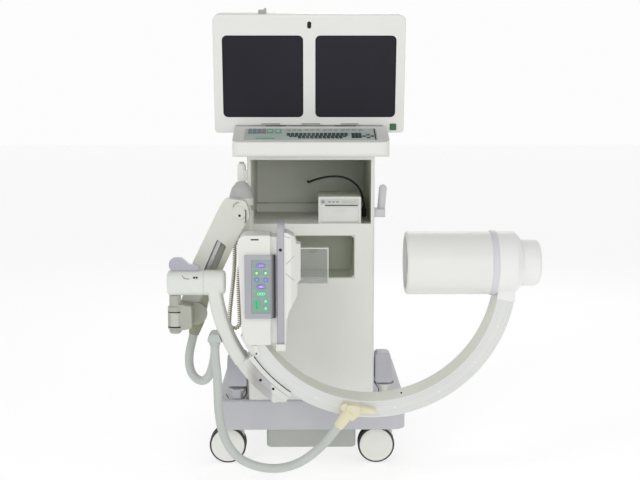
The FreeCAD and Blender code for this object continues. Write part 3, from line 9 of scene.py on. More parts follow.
import bmesh
import bpy
from mathutils import Matrix, Vector


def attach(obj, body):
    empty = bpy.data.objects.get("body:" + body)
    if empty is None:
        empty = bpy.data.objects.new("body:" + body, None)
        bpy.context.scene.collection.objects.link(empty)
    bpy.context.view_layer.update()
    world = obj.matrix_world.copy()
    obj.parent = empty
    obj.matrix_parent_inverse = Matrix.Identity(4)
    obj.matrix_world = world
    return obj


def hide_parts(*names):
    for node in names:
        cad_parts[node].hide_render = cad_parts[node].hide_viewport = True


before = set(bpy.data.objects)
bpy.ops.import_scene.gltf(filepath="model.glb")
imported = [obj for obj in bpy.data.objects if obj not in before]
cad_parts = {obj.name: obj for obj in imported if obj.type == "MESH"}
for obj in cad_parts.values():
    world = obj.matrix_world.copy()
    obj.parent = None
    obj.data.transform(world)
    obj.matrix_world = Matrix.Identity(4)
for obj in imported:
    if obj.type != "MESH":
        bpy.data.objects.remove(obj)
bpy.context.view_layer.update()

CART = Vector((-130.0, 88.0, 0.0))

# Monitor, measured from the middle of its bottom edge and its front face
MONITOR_X, MONITOR_FRONT, HINGE_Y, HINGE_Z = -5.0, -212.0, -168.0, 1149.0
MONITOR_DROP, MONITOR_LEAN = 24.0, 9.0
SCREEN_W, SCREEN_GAP, SCREEN_LOW = 262.0, 39.0, 52.0

# Key deck: its front and back edges as (y, z)
DECK_FRONT, DECK_BACK = (-367.0, 1096.0), (-218.0, 1141.0)

# C ring
RING_X, RING_Y, RING_Z = 186.0, -465.0, 690.0
RING_FRONT = RING_Y - 55.0
HEAD_FRONT = RING_Y - 62.0
ARM_FRONT = -401.0

CONDUIT_UPPER = [
    (-378, -367, 478), (-388, -370, 440), (-394, -378, 400), (-388, -392, 362), (-368, -408, 340),
    (-342, -424, 336), (-322, -434, 358), (-310, -440, 396), (-303, -443, 436), (-303, -443, 470)]
CONDUIT_LOWER = [
    (-300, -488, 470), (-300, -488, 430), (-293, -496, 380), (-291, -503, 325), (-289, -510, 268),
    (-281, -517, 212), (-262, -523, 160), (-230, -528, 120), (-186, -532, 97), (-135, -535, 86),
    (-84, -540, 90), (-36, -543, 107), (8, -546, 139), (46, -547, 176), (82, -547, 224)]
CURLY_CORD = [
    (-227, -236, 956), (-227, -236, 918), (-244, -235, 886), (-252, -235, 842), (-254, -236, 790),
    (-252, -236, 730), (-254, -237, 672), (-260, -238, 615), (-267, -238, 560), (-272, -238, 510),
    (-273, -238, 480.8), (-262.8, -238, 470.5), (-248.2, -238, 470.5), (-238, -238, 480.8),
    (-238, -238, 508), (-240, -238, 556), (-241, -238, 604), (-240, -237, 650), (-237, -236, 678),
    (-226, -236, 692), (-209, -236, 692)]
PRINTER_CABLE = [
    (-10, 223, 930), (-10, 180, 930), (-9, 130, 934), (-8, 75, 936), (-6, 20, 940), (-3, -30, 945),
    (8, -75, 953), (32, -108, 963), (66, -124, 970), (102, -128, 970), (136, -124, 958),
    (162, -116, 934), (177, -108, 904), (181, -104, 870)]


def spot(x, y, z):
    """A place on the cart, in metres in the part's frame."""
    return (Vector((x, y, z)) + CART) / 1000.0


def across(x):
    """How far right a place on the cart lies in the part's frame."""
    return spot(x, 0, 0).x


def behind(y):
    """How far back a place on the cart lies in the part's frame."""
    return spot(0, y, 0).y


def on_monitor(x, y, z):
    """A place on the leaning monitor."""
    upright = Vector((x + MONITOR_X, y + MONITOR_FRONT, z + HINGE_Z - MONITOR_DROP))
    axis = Vector((0, HINGE_Y, HINGE_Z))
    turn = Matrix.Rotation(math.radians(MONITOR_LEAN), 3, "X")
    return spot(*(axis + turn @ (upright - axis)))


def on_deck(x, along, up):
    """A place on the sloping key deck, from its front edge."""
    run = Vector((DECK_BACK[0] - DECK_FRONT[0], DECK_BACK[1] - DECK_FRONT[1])).normalized()
    y = DECK_FRONT[0] + run.x * along - run.y * up
    z = DECK_FRONT[1] + run.y * along + run.x * up
    return spot(x, y, z)


def on_ring(radius, degrees, y):
    """A place on the ring, by its angle seen from the front."""
    a = math.radians(degrees)
    return spot(RING_X + radius * math.cos(a), y, RING_Z + radius * math.sin(a))


# Finishes


def tone(red, green, blue):
    """A colour as it looks, from 0 to 255, as the shader's own numbers."""
    def one(v):
        v = v / 255.0
        return v / 12.92 if v <= 0.04045 else ((v + 0.055) / 1.055) ** 2.4
    return (one(red), one(green), one(blue), 1.0)


class Value:
    """A socket of a finish, with arithmetic that adds Math nodes."""

    def __init__(self, finish, socket):
        self.finish, self.socket = finish, socket

    def sum_with(self, operation, other=0.0, swapped=False):
        first, second = (other, self) if swapped else (self, other)
        return self.finish.node("Math", {"operation": operation}, {0: first, 1: second})

    def __add__(self, other):
        return self.sum_with("ADD", other)

    def __radd__(self, other):
        return self.sum_with("ADD", other, True)

    def __sub__(self, other):
        return self.sum_with("SUBTRACT", other)

    def __rsub__(self, other):
        return self.sum_with("SUBTRACT", other, True)

    def __mul__(self, other):
        return self.sum_with("MULTIPLY", other)

    def __rmul__(self, other):
        return self.sum_with("MULTIPLY", other, True)

    def __gt__(self, other):
        return self.sum_with("GREATER_THAN", other)

    def __lt__(self, other):
        return self.sum_with("LESS_THAN", other)

    def power(self, other):
        return self.sum_with("POWER", other)

    def size(self):
        return self.sum_with("ABSOLUTE")

    def wave(self):
        return self.sum_with("SINE")


class Finish:
    """A material on the Principled shader, whose nodes are added by name."""

    def __init__(self, name, colour, roughness=0.5, **fixed):
        self.material = bpy.data.materials.new(name)
        self.material.use_nodes = True
        self.tree = self.material.node_tree
        self.shader = self.tree.nodes["Principled BSDF"]
        self.give("Base Color", colour)
        self.give("Roughness", roughness)
        for socket, value in fixed.items():
            self.give(socket.replace("_", " "), value)

    def give(self, socket, value):
        self.feed(self.shader.inputs[socket], value)

    def feed(self, socket, value):
        if isinstance(value, Value):
            self.tree.links.new(value.socket, socket)
        else:
            socket.default_value = value

    def node(self, kind, settings=(), inputs=(), out=0):
        made = self.tree.nodes.new("ShaderNode" + kind)
        for name, value in dict(settings).items():
            if name == "stops":
                for i, (place, colour) in enumerate(value):
                    if i > 1:
                        made.color_ramp.elements.new(place)
                    made.color_ramp.elements[i].position = place
                    made.color_ramp.elements[i].color = colour
            else:
                setattr(made, name, value)
        for name, value in dict(inputs).items():
            self.feed(made.inputs[name], value)
        return Value(self, made.outputs[out])

    def place(self):
        return self.node("TexCoord", out="Object")

    def apart(self, vector):
        made = self.node("SeparateXYZ", inputs={0: vector})
        node = made.socket.node
        return [Value(self, node.outputs[i]) for i in range(3)]

    def noise(self, scale, detail=3.0, vector=None, rough=0.5):
        return self.node("TexNoise", inputs={
            "Vector": vector or self.place(), "Scale": scale, "Detail": detail, "Roughness": rough})

    def blend(self, share, first, second):
        return self.node("Mix", {"data_type": "RGBA"}, {0: share, 6: first, 7: second}, out=2)

    def shine(self, scale, detail, spread, least, rough=0.5):
        """Uneven gloss: a roughness that wanders upwards from its least."""
        self.give("Roughness", self.noise(scale, detail, rough=rough) * spread + least)

    def fade(self, value, start, end, first=0.0, last=1.0):
        """A share that goes from first to last as value goes from start to end."""
        return self.node("MapRange", inputs={0: value, 1: start, 2: end, 3: first, 4: last})

    def raise_by(self, height, strength, distance):
        bump = self.node("Bump", inputs={"Strength": strength, "Distance": distance, "Height": height})
        self.give("Normal", bump)


def deeper(colour, share):
    """A colour's shade: darker below 1, paler above it."""
    return tuple(c * share for c in colour[:3]) + (1.0,)


def moulded(name, colour, roughness=0.45, mottle=0.06, grain=0.12, **fixed):
    """Moulded plastic: a fine grain, a slow change of shade and uneven gloss."""
    finish = Finish(name, colour, roughness, **fixed)
    slow = finish.noise(9.0, 4.0)
    dim, bright = deeper(colour, 1.0 - mottle), deeper(colour, 1.0 + mottle * 0.5)
    finish.give("Base Color", finish.blend(slow, dim, bright))
    finish.shine(26.0, 5.0, 0.16, roughness - 0.08, 0.6)
    finish.raise_by(finish.noise(1100.0, 2.0), grain, 0.0004)
    return finish.material


def painted(name, colour, roughness):
    """Sprayed paint on metal: orange peel, uneven gloss and faint handling marks."""
    finish = Finish(name, colour, roughness)
    slow = finish.noise(5.0, 5.0)
    finish.give("Base Color", finish.blend(slow, deeper(colour, 0.95), deeper(colour, 1.02)))
    finish.shine(60.0, 6.0, 0.2, roughness - 0.1, 0.7)
    finish.raise_by(finish.noise(420.0, 1.0), 0.10, 0.0006)
    return finish.material


def brushed(name, colour, roughness=0.32):
    """Turned or brushed metal with fine lines along one way."""
    finish = Finish(name, colour, roughness, Metallic=1.0)
    stretched = finish.node("Mapping", inputs={"Vector": finish.place(), "Scale": (40.0, 900.0, 900.0)})
    lines = finish.noise(1.0, 3.0, vector=stretched)
    finish.give("Base Color", finish.blend(lines, deeper(colour, 0.82), deeper(colour, 1.08)))
    finish.give("Roughness", lines * 0.25 + (roughness - 0.12))
    finish.raise_by(lines, 0.08, 0.0004)
    return finish.material


def rubber(name, colour, roughness=0.75):
    """Soft rubber with a dusty bloom."""
    finish = Finish(name, colour, roughness)
    dust = finish.noise(45.0, 6.0, rough=0.65)
    finish.give("Base Color", finish.blend(dust, deeper(colour, 0.8), deeper(colour, 1.35)))
    finish.give("Roughness", dust * 0.2 + (roughness - 0.1))
    finish.raise_by(finish.noise(700.0, 2.0), 0.2, 0.0005)
    return finish.material


def braid(name, light, dark):
    """A braided sleeve: crossing strands that follow the tube's own map."""
    around, along = 16.0 * 2 * math.pi, 260.0 * 2 * math.pi
    finish = Finish(name, light, 0.55)
    u, v, _ = finish.apart(finish.node("UVMap", {"uv_map": "sleeve"}))
    one, two = (u * around + v * along).wave(), (u * around - v * along).wave()
    weave = one * two * 0.5 + 0.5
    slow = finish.noise(14.0, 4.0)
    finish.give("Base Color", finish.blend(weave * 0.55 + slow * 0.35, dark, light))
    finish.raise_by(weave, 0.5, 0.0008)
    return finish.material


WHITE = tone(231, 231, 226)
shell_white = moulded("shell_white", WHITE, 0.42)
console_white = moulded("console_white", tone(228, 228, 224), 0.38, mottle=0.04)
monitor_white = moulded("monitor_white", tone(227, 228, 223), 0.36, mottle=0.04)
liner_white = moulded("liner_white", tone(196, 200, 184), 0.35)
lavender = moulded("lavender_grey", tone(197, 197, 203), 0.5, mottle=0.06, grain=0.3)
post_grey = moulded("post_grey", tone(184, 184, 192), 0.45, mottle=0.08, grain=0.3)
handle_lilac = moulded("handle_lilac", tone(208, 207, 212), 0.45, mottle=0.06, grain=0.2)
latch_grey = moulded("latch_grey", tone(168, 170, 168), 0.4)
knuckle_grey = painted("knuckle_grey", tone(176, 178, 166), 0.4)
tub_grey = painted("tub_grey", tone(174, 178, 171), 0.5)
dome_grey = moulded("dome_grey", tone(182, 182, 181), 0.45, mottle=0.12)
hinge_grey = moulded("hinge_grey", tone(128, 131, 132), 0.5, mottle=0.12)
bumper_lilac = moulded("bumper_lilac", tone(178, 177, 185), 0.42, mottle=0.07)
arm_white = painted("arm_white", tone(222, 223, 214), 0.34)
rotor_white = painted("rotor_white", tone(224, 226, 220), 0.34)
lever_grey = moulded("lever_grey", tone(178, 178, 188), 0.28, mottle=0.1, Coat_Weight=0.3)
clip_grey = moulded("clip_grey", tone(190, 196, 192), 0.4)
cream = moulded("cream_moulding", tone(228, 222, 192), 0.45)
olive_rubber = rubber("olive_boot", tone(150, 150, 128))
dark_rubber = rubber("dark_rubber", tone(34, 34, 36))
tyre_rubber = rubber("tyre_rubber", tone(60, 60, 62), 0.7)
disc_white = moulded("disc_white", tone(236, 236, 230), 0.35)
gap_black = rubber("gap_black", tone(24, 24, 26), 0.9)
steel = brushed("pin_steel", tone(186, 188, 190))
printer_white = moulded("printer_white", tone(224, 225, 220), 0.45)
ring_grey = moulded("ring_grey", tone(216, 215, 221), 0.45, mottle=0.05)
cap_white = moulded("cap_white", tone(238, 239, 236), 0.4)
key_grey = moulded("key_dark", tone(52, 60, 62), 0.4, mottle=0.2)
key_green = moulded("key_green", tone(72, 176, 122), 0.35)
key_blue = moulded("key_blue", tone(112, 132, 206), 0.35)
key_violet = moulded("key_violet", tone(132, 112, 222), 0.35)
key_mint = moulded("key_mint", tone(76, 208, 156), 0.35)
power_green = moulded("power_green", tone(26, 92, 50), 0.25, Coat_Weight=0.4)
key_pale = moulded("key_pale", tone(150, 158, 158), 0.4)
key_slate = moulded("key_slate", tone(128, 140, 148), 0.4)
key_teal = moulded("key_teal", tone(126, 166, 150), 0.4)
key_spring = moulded("key_spring", tone(168, 222, 190), 0.35)
key_lime = moulded("key_lime", tone(96, 196, 104), 0.35)
core_teal = moulded("core_teal", tone(146, 178, 190), 0.4)
core_mint = moulded("core_mint", tone(178, 238, 212), 0.35)
core_violet = moulded("core_violet", tone(206, 198, 246), 0.35)
core_green = moulded("core_green", tone(214, 244, 208), 0.35)
line_pale = moulded("line_pale", tone(176, 190, 186), 0.4)
slot_shadow = moulded("slot_shadow", tone(112, 112, 108), 0.6)
seam_shade = moulded("seam_shade", tone(150, 150, 144), 0.6)
collar_grey = moulded("collar_grey", tone(196, 199, 186), 0.35, mottle=0.12)
# a dark grey used for painted shade at the bumper posts
post_shade = moulded("post_shade", tone(118, 118, 124), 0.5, mottle=0.1)
foot_white = moulded("foot_white", tone(228, 229, 222), 0.4)
strip_grey = moulded("strip_grey", tone(204, 206, 202), 0.4)
strip_key = moulded("strip_key", tone(146, 152, 150), 0.4)
# a near-white used for painted highlights on the clear holder's edges
edge_glint = moulded("edge_glint", tone(238, 242, 240), 0.25)
edge_grey = moulded("edge_grey", tone(168, 174, 168), 0.3)


def screen_glass():
    """A dark display behind glass, with the faint unevenness of a panel that is off."""
    finish = Finish("screen_glass", tone(24, 22, 32), 0.3, Specular_IOR_Level=0.22)
    cloud = finish.noise(7.0, 2.0)
    finish.give("Base Color", finish.blend(cloud, tone(20, 18, 28), tone(29, 27, 38)))
    finish.shine(40.0, 4.0, 0.14, 0.24)
    return finish.material


def membrane(name, colour, foot=None):
    """A printed membrane over the keys, satin, with a faint weave; foot is its tone low on the head."""
    finish = Finish(name, colour, 0.4)
    slow = finish.noise(12.0, 4.0)
    base = finish.blend(slow, deeper(colour, 0.92), deeper(colour, 1.06))
    if foot:
        height = finish.apart(finish.place())[2]
        base = finish.blend(finish.fade(height, 0.70, 0.60), base, foot)
    finish.give("Base Color", base)
    finish.raise_by(finish.noise(1500.0, 1.0), 0.15, 0.0003)
    return finish.material


def from_ring(x, z):
    """How far a place is from the C's centre."""
    middle = spot(RING_X, RING_Y, RING_Z)
    return ((x - middle.x).power(2.0) + (z - middle.z).power(2.0)).power(0.5)


def ring_paint():
    """Painted aluminium for the C: faint grooves turned into its front face, and painted olive shade on its
    inner band.
    """
    finish = Finish("ring_paint", tone(224, 225, 222), 0.3)
    x, _, z = finish.apart(finish.place())
    radius = from_ring(x, z)
    groove = radius * 0.0
    for line in (0.4005, 0.4085, 0.4285, 0.4375):
        groove = groove + ((radius - line).size() < 0.0006)
    slow = finish.noise(4.0, 5.0)
    base = finish.blend(slow, tone(216, 218, 215), tone(228, 229, 226))
    # painted shade: the ring's inner band, below a radius of 0.3925 m, is tinted olive-beige
    base = finish.blend(finish.fade(radius, 0.3925, 0.3935, 0.7, 0.0), base, tone(216, 216, 200))
    finish.give("Base Color", finish.blend(groove * 0.2, base, tone(150, 152, 152)))
    finish.shine(50.0, 5.0, 0.18, 0.24)
    finish.raise_by(finish.noise(420.0, 1.0) * 0.2 - groove, 0.3, 0.0006)
    return finish.material


def clear_sheet():
    """Clear acrylic with faint smears."""
    finish = Finish("clear_sheet", tone(236, 242, 242), 0.08, IOR=1.45)
    finish.give("Alpha", finish.noise(24.0, 3.0) * 0.06 + 0.05)
    finish.shine(30.0, 4.0, 0.1, 0.05)
    return finish.material


def panel_moulding():
    """The panel's frame: pale, with its right bevel falling into shade."""
    finish = Finish("panel_frame", tone(158, 158, 165), 0.35)
    share = finish.fade(finish.apart(finish.place())[0], across(-125), across(-113))
    base = finish.blend(finish.noise(10.0, 4.0), tone(164, 165, 172), tone(178, 179, 186))
    finish.give("Base Color", finish.blend(share, base, tone(36, 38, 42)))
    finish.shine(30.0, 4.0, 0.16, 0.28)
    finish.raise_by(finish.noise(1100.0, 2.0), 0.12, 0.0004)
    return finish.material


def cabinet_paint():
    """The cabinet's moulding: white outside, with painted shade in its open compartment, pale on the left and
    darker olive on the right.
    """
    finish = Finish("cabinet_white", WHITE, 0.42)
    x, y, z = finish.apart(finish.place())
    inside = ((x - across(0)).size() < 0.2005) * (z > 0.8235) * (z < 1.037)
    inside = inside * (y > behind(-254)) * (y < behind(228))
    # painted shade in the open compartment: its walls go from pale on the left to a darker olive on the
    # right, where the shade falls
    bay_shade = finish.blend(finish.fade(x, across(-195), across(195)), tone(242, 244, 236), tone(196, 201, 184))
    slow = finish.noise(9.0, 4.0)
    shell = finish.blend(slow, deeper(WHITE, 0.95), deeper(WHITE, 1.03))
    finish.give("Base Color", finish.blend(inside, shell, bay_shade))
    finish.shine(26.0, 5.0, 0.16, 0.34, 0.6)
    finish.raise_by(finish.noise(1100.0, 2.0), 0.12, 0.0004)
    return finish.material


def carriage_paint():
    """The carriage: white against the ring; its outer side carries a lavender-grey covering, painted
    olive-grey towards its left end as painted shade.
    """
    finish = Finish("carriage_paint", tone(224, 226, 220), 0.34)
    x, _, z = finish.apart(finish.place())
    outer = finish.fade(from_ring(x, z), 0.4555, 0.4565)
    late = finish.fade(x, across(-204), across(-176))
    ended = finish.fade(x, across(-126), across(-120), 1.0, 0.0)
    # lavender-grey on the outer side, with painted shade turning it olive-grey towards the left end
    cover_and_shade = finish.blend(finish.fade(x, across(-200), across(-110)), tone(172, 171, 156), tone(190, 189, 199))
    base = finish.blend(finish.noise(5.0, 5.0), tone(214, 216, 210), tone(228, 230, 225))
    finish.give("Base Color", finish.blend(outer * late * ended, base, cover_and_shade))
    finish.shine(60.0, 6.0, 0.2, 0.24, 0.7)
    finish.raise_by(finish.noise(420.0, 1.0), 0.1, 0.0006)
    return finish.material


def arm_paint():
    """The lifting arm: white outside, with painted olive shade in its recess, growing stronger towards the
    bottom.
    """
    finish = Finish("arm_paint", tone(222, 223, 214), 0.34)
    x, y, z = finish.apart(finish.place())
    # painted shade: the recess in the arm's front is tinted olive, fading in from the top and strongest
    # towards the bottom
    inside = (y > behind(ARM_FRONT + 1.0)) * (y < behind(ARM_FRONT + 56.0))
    lean = (z - 0.590) * 0.42
    inner = finish.fade((x - across(-329) - lean).size(), 0.030, 0.020)
    shade_downwards = finish.fade(z, 0.800, 0.690)
    base = finish.blend(finish.noise(5.0, 5.0), tone(212, 213, 203), tone(226, 227, 219))
    finish.give("Base Color", finish.blend(inside * inner * shade_downwards, base, tone(170, 172, 152)))
    finish.shine(60.0, 6.0, 0.2, 0.24, 0.7)
    finish.raise_by(finish.noise(420.0, 1.0), 0.1, 0.0006)
    return finish.material


glass = screen_glass()
key_sheet = membrane("key_sheet", tone(184, 194, 188))
panel_sheet = membrane("panel_sheet", tone(150, 164, 166), tone(144, 168, 158))
ring_white = ring_paint()
panel_frame, cabinet_white = panel_moulding(), cabinet_paint()
carriage_white, lift_white = carriage_paint(), arm_paint()
clear = clear_sheet()
sleeve = braid("conduit_braid", tone(219, 222, 218), tone(172, 180, 175))
cord_beige = rubber("cord_beige", tone(160, 156, 128), 0.6)
window_grey = painted("window_grey", tone(112, 115, 110), 0.55)
can_white = painted("can_white", tone(233, 233, 229), 0.4)

CAD_FINISHES = {
    "base_shroud": lavender, "base_chassis": tub_grey, "cabinet_shell": cabinet_white,
    "cabinet_rear_panel": shell_white, "bin_liner": liner_white, "leaflet_holder": clear,
    "printer_case": printer_white, "printer_door": printer_white, "printer_cable": dark_rubber,
    "push_handle": handle_lilac, "cord_post_left": post_grey, "cord_post_right": post_grey,
    "console_shell": console_white, "keyboard_deck": console_white, "keypad": key_sheet,
    "monitor_pedestal": hinge_grey, "switch_clip": shell_white, "curly_cord": cord_beige,
    "arm_bracket": tub_grey, "monitor_rear_shell": monitor_white, "monitor_bezel": monitor_white,
    "screen_left": glass, "screen_right": glass, "monitor_latch": latch_grey,
    "power_button": power_green, "hand_switch": shell_white, "switch_trigger": dome_grey,
    "shoulder_block": arm_white, "shoulder_dome": dome_grey, "flex_arm": lift_white,
    "conduit_boot": olive_rubber, "tie_rod": steel, "knuckle": knuckle_grey, "yoke_housing": rotor_white,
    "lock_lever": lever_grey, "rotor_strut": rotor_white, "carriage": carriage_white,
    "carriage_rollers": steel, "conduit_clip": clip_grey, "conduit_upper": sleeve,
    "conduit_lower": sleeve, "arc_beam": ring_white, "head_housing": shell_white,
    "head_panel": panel_frame, "head_bumper": bumper_lilac, "beam_cone": shell_white,
    "intensifier_can": can_white, "intensifier_window": window_grey, "intensifier_ring": ring_grey,
    "intensifier_cap": cap_white, "cable_breakout": cream}
for corner in ("fl", "fr", "bl", "br"):
    CAD_FINISHES["caster_fork_" + corner] = disc_white
    CAD_FINISHES["caster_wheels_" + corner] = tyre_rubber


for node_name, finish in CAD_FINISHES.items():
    node = bpy.data.objects[node_name]
    if not node.material_slots:
        node.data.materials.append(finish)
    for one in node.material_slots:
        one.material = finish


# Making pieces


def placed(name, data):
    """A new object in the scene."""
    made = bpy.data.objects.new(name, data)
    bpy.context.scene.collection.objects.link(made)
    return made


def mesh_as_seen(made):
    """The mesh that an object's curve or modifiers give; the object itself goes."""
    bpy.context.view_layer.update()
    mesh = bpy.data.meshes.new_from_object(made.evaluated_get(bpy.context.evaluated_depsgraph_get()))
    bpy.data.objects.remove(made)
    return mesh


def piece(name, body, mesh, finishes, smooth=35.0):
    """An object at the origin, on its body, with its finishes."""
    made = placed(name, mesh)
    for finish in finishes if isinstance(finishes, (list, tuple)) else [finishes]:
        mesh.materials.append(finish)
    soften(mesh, smooth)
    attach(made, body)
    return made


def soften(mesh, degrees):
    """Smooth faces with sharp edges above an angle."""
    work = bmesh.new()
    work.from_mesh(mesh)
    limit = math.radians(degrees)
    for face in work.faces:
        face.smooth = True
    for edge in work.edges:
        if len(edge.link_faces) == 2 and edge.calc_face_angle(0.0) > limit:
            edge.smooth = False
    work.to_mesh(mesh)
    work.free()


def mesh_of(name, points, faces, indices=()):
    """A mesh with its faces turned outwards; indices are its faces' finishes."""
    mesh = bpy.data.meshes.new(name)
    mesh.from_pydata([tuple(p) for p in points], [], faces)
    for face, index in zip(mesh.polygons, indices):
        face.material_index = index
    turn_outwards(mesh)
    return mesh


def turn_outwards(mesh):
    """Turn a closed mesh's faces outwards."""
    work = bmesh.new()
    work.from_mesh(mesh)
    bmesh.ops.recalc_face_normals(work, faces=work.faces)
    work.to_mesh(mesh)
    work.free()


def rounded_outline(points, radii, steps=5):
    """A closed outline with its corners rounded, as (u, v) points."""
    count = len(points)
    if not isinstance(radii, (list, tuple)):
        radii = [radii] * count
    out = []
    for i, radius in enumerate(radii):
        p = Vector(points[i])
        a = (Vector(points[i - 1]) - p)
        b = (Vector(points[(i + 1) % count]) - p)
        turn = a.angle(b)
        reach = min(radius / math.tan(turn / 2), a.length * 0.49, b.length * 0.49)
        radius = reach * math.tan(turn / 2)
        centre = p + (a.normalized() + b.normalized()).normalized() * (radius / math.sin(turn / 2))
        start, end = p + a.normalized() * reach - centre, p + b.normalized() * reach - centre
        for k in range(steps + 1):
            share = k / steps
            way = start.slerp(end, share) if start.angle(end) > 1e-4 else start
            out.append(tuple(centre + way.normalized() * radius))
    return out


def rectangle(u0, u1, v0, v1):
    """A rectangle's four corners."""
    return [(u0, v0), (u1, v0), (u1, v1), (u0, v1)]


def rounded(u0, u1, v0, v1, radius, steps=5):
    """A rectangle's outline with its corners rounded."""
    return rounded_outline(rectangle(u0, u1, v0, v1), radius, steps)


def slab(name, outline, low, high, to_place, edge=0.0):
    """An outline drawn out between two heights, with its top edge eased."""
    rings = [(low, 0.0), (high, 0.0)]
    if edge:
        rings = [(low, 0.0), (high - edge, 0.0), (high - edge * 0.3, edge * 0.3), (high, edge)]
    points, faces = [], []
    count = len(outline)
    inward = inset_ways(outline)
    for level, inset in rings:
        for p, way in zip(outline, inward):
            points.append(to_place(p[0] + way[0] * inset, p[1] + way[1] * inset, level))
    for r in range(len(rings) - 1):
        for i in range(count):
            j = (i + 1) % count
            faces.append((r * count + i, r * count + j, (r + 1) * count + j, (r + 1) * count + i))
    faces.append(tuple(range(count))[::-1])
    faces.append(tuple((len(rings) - 1) * count + i for i in range(count)))
    return mesh_of(name, points, faces)


def inset_ways(outline):
    """For each point of an outline, the way inwards."""
    count = len(outline)
    area = 0.0
    for i in range(count):
        a, b = outline[i], outline[(i + 1) % count]
        area += a[0] * b[1] - b[0] * a[1]
    sign = 1.0 if area > 0 else -1.0
    ways = []
    for i in range(count):
        a, p, b = Vector(outline[i - 1]), Vector(outline[i]), Vector(outline[(i + 1) % count])
        along = (b - a)
        along = along.normalized() if along.length > 1e-9 else Vector((1, 0))
        ways.append((-along.y * sign, along.x * sign))
    return ways


def lathe(name, profile, centre, axis, steps, marks=None):
    """A closed turned form: profile points are (radius, distance along the axis)."""
    axis = Vector(axis).normalized()
    side = axis.orthogonal().normalized()
    other = axis.cross(side)
    points, faces, indices = [], [], []
    for r, t in profile:
        for k in range(steps):
            a = 2 * math.pi * k / steps
            way = side * math.cos(a) + other * math.sin(a)
            points.append(spot(*(Vector(centre) + axis * t + way * max(r, 0.01))))
    for i in range(len(profile) - 1):
        for k in range(steps):
            j = (k + 1) % steps
            faces.append((i * steps + k, i * steps + j, (i + 1) * steps + j, (i + 1) * steps + k))
            indices.append(marks[i] if marks else 0)
    last = (len(profile) - 1) * steps
    faces.append(tuple(range(steps))[::-1])
    faces.append(tuple(last + k for k in range(steps)))
    indices += [marks[0] if marks else 0, marks[-1] if marks else 0]
    return mesh_of(name, points, faces, indices)


def joined(name, meshes):
    """One mesh of several, with their material marks kept."""
    work = bmesh.new()
    for mesh in meshes:
        work.from_mesh(mesh)
    whole = bpy.data.meshes.new(name)
    work.to_mesh(whole)
    work.free()
    return whole


def nurbs_line(name, points, fine=24):
    """The smooth line of a cord, read from its spline."""
    data = bpy.data.curves.new(name, "CURVE")
    data.dimensions = "3D"
    spline = data.splines.new("NURBS")
    spline.points.add(len(points) - 1)
    for control, p in zip(spline.points, points):
        control.co = (*spot(*p), 1.0)
    spline.order_u = 3
    spline.use_endpoint_u = True
    spline.resolution_u = fine
    mesh = mesh_as_seen(placed(name, data))
    line = [v.co.copy() for v in mesh.vertices]
    bpy.data.curves.remove(data)
    bpy.data.meshes.remove(mesh)
    return line


def line_length(line):
    """The length along a line's points."""
    return sum((b - a).length for a, b in zip(line, line[1:]))


def frames_along(line):
    """For each point of a line, its direction and two ways across, without twist."""
    out = []
    way = (line[1] - line[0]).normalized()
    side = way.orthogonal().normalized()
    for i, p in enumerate(line):
        a = line[max(i - 1, 0)]
        b = line[min(i + 1, len(line) - 1)]
        new = (b - a).normalized()
        side = (side - new * side.dot(new)).normalized()
        out.append((p, new, side, new.cross(side)))
    return out


def tube(name, line, radius, sides):
    """A closed tube along a line, with a map called sleeve: u round it, v along it in metres."""
    points, faces, maps = [], [], []
    travelled = 0.0
    rings = frames_along(line)
    along = []
    for i, (p, _, side, other) in enumerate(rings):
        if i:
            travelled += (line[i] - line[i - 1]).length
        along.append(travelled)
        for k in range(sides):
            a = 2 * math.pi * k / sides
            points.append(p + (side * math.cos(a) + other * math.sin(a)) * radius)
    for i in range(len(rings) - 1):
        for k in range(sides):
            j = (k + 1) % sides
            faces.append((i * sides + k, i * sides + j, (i + 1) * sides + j, (i + 1) * sides + k))
            maps.append([(k / sides, along[i]), ((k + 1) / sides, along[i]),
                         ((k + 1) / sides, along[i + 1]), (k / sides, along[i + 1])])
    last = (len(rings) - 1) * sides
    faces.append(tuple(range(sides))[::-1])
    maps.append([(0, 0)] * sides)
    faces.append(tuple(last + k for k in range(sides)))
    maps.append([(0, travelled)] * sides)
    mesh = bpy.data.meshes.new(name)
    mesh.from_pydata([tuple(p) for p in points], [], faces)
    layer = mesh.uv_layers.new(name="sleeve")
    for face, corners in zip(mesh.polygons, maps):
        for loop, uv in zip(face.loop_indices, corners):
            layer.data[loop].uv = uv
    turn_outwards(mesh)
    return mesh


# Camera

lens = bpy.data.cameras.new("photo_camera")
lens.lens, lens.sensor_width = 61.9, 36.0
lens.sensor_fit = "HORIZONTAL"
lens.clip_end = 60.0
camera = placed("photo_camera", lens)
camera.location = spot(-8, -3849, 1210)
camera.rotation_euler = (math.radians(83.0), 0.0, math.radians(-0.6))
bpy.context.scene.camera = camera

# Cords

for label, route, body, fitting in (
        ("conduit_upper", CONDUIT_UPPER, "rotor", "conduit_clip"),
        ("conduit_lower", CONDUIT_LOWER, "c_arc", "cable_breakout")):
    line = nurbs_line(label + "_line", route)
    mesh = tube(label + "_sleeve", line, 0.0138, 28)
    hose = piece(label + "_sleeve", body, mesh, sleeve, 60.0)
    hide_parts(label)
    line_length(line)


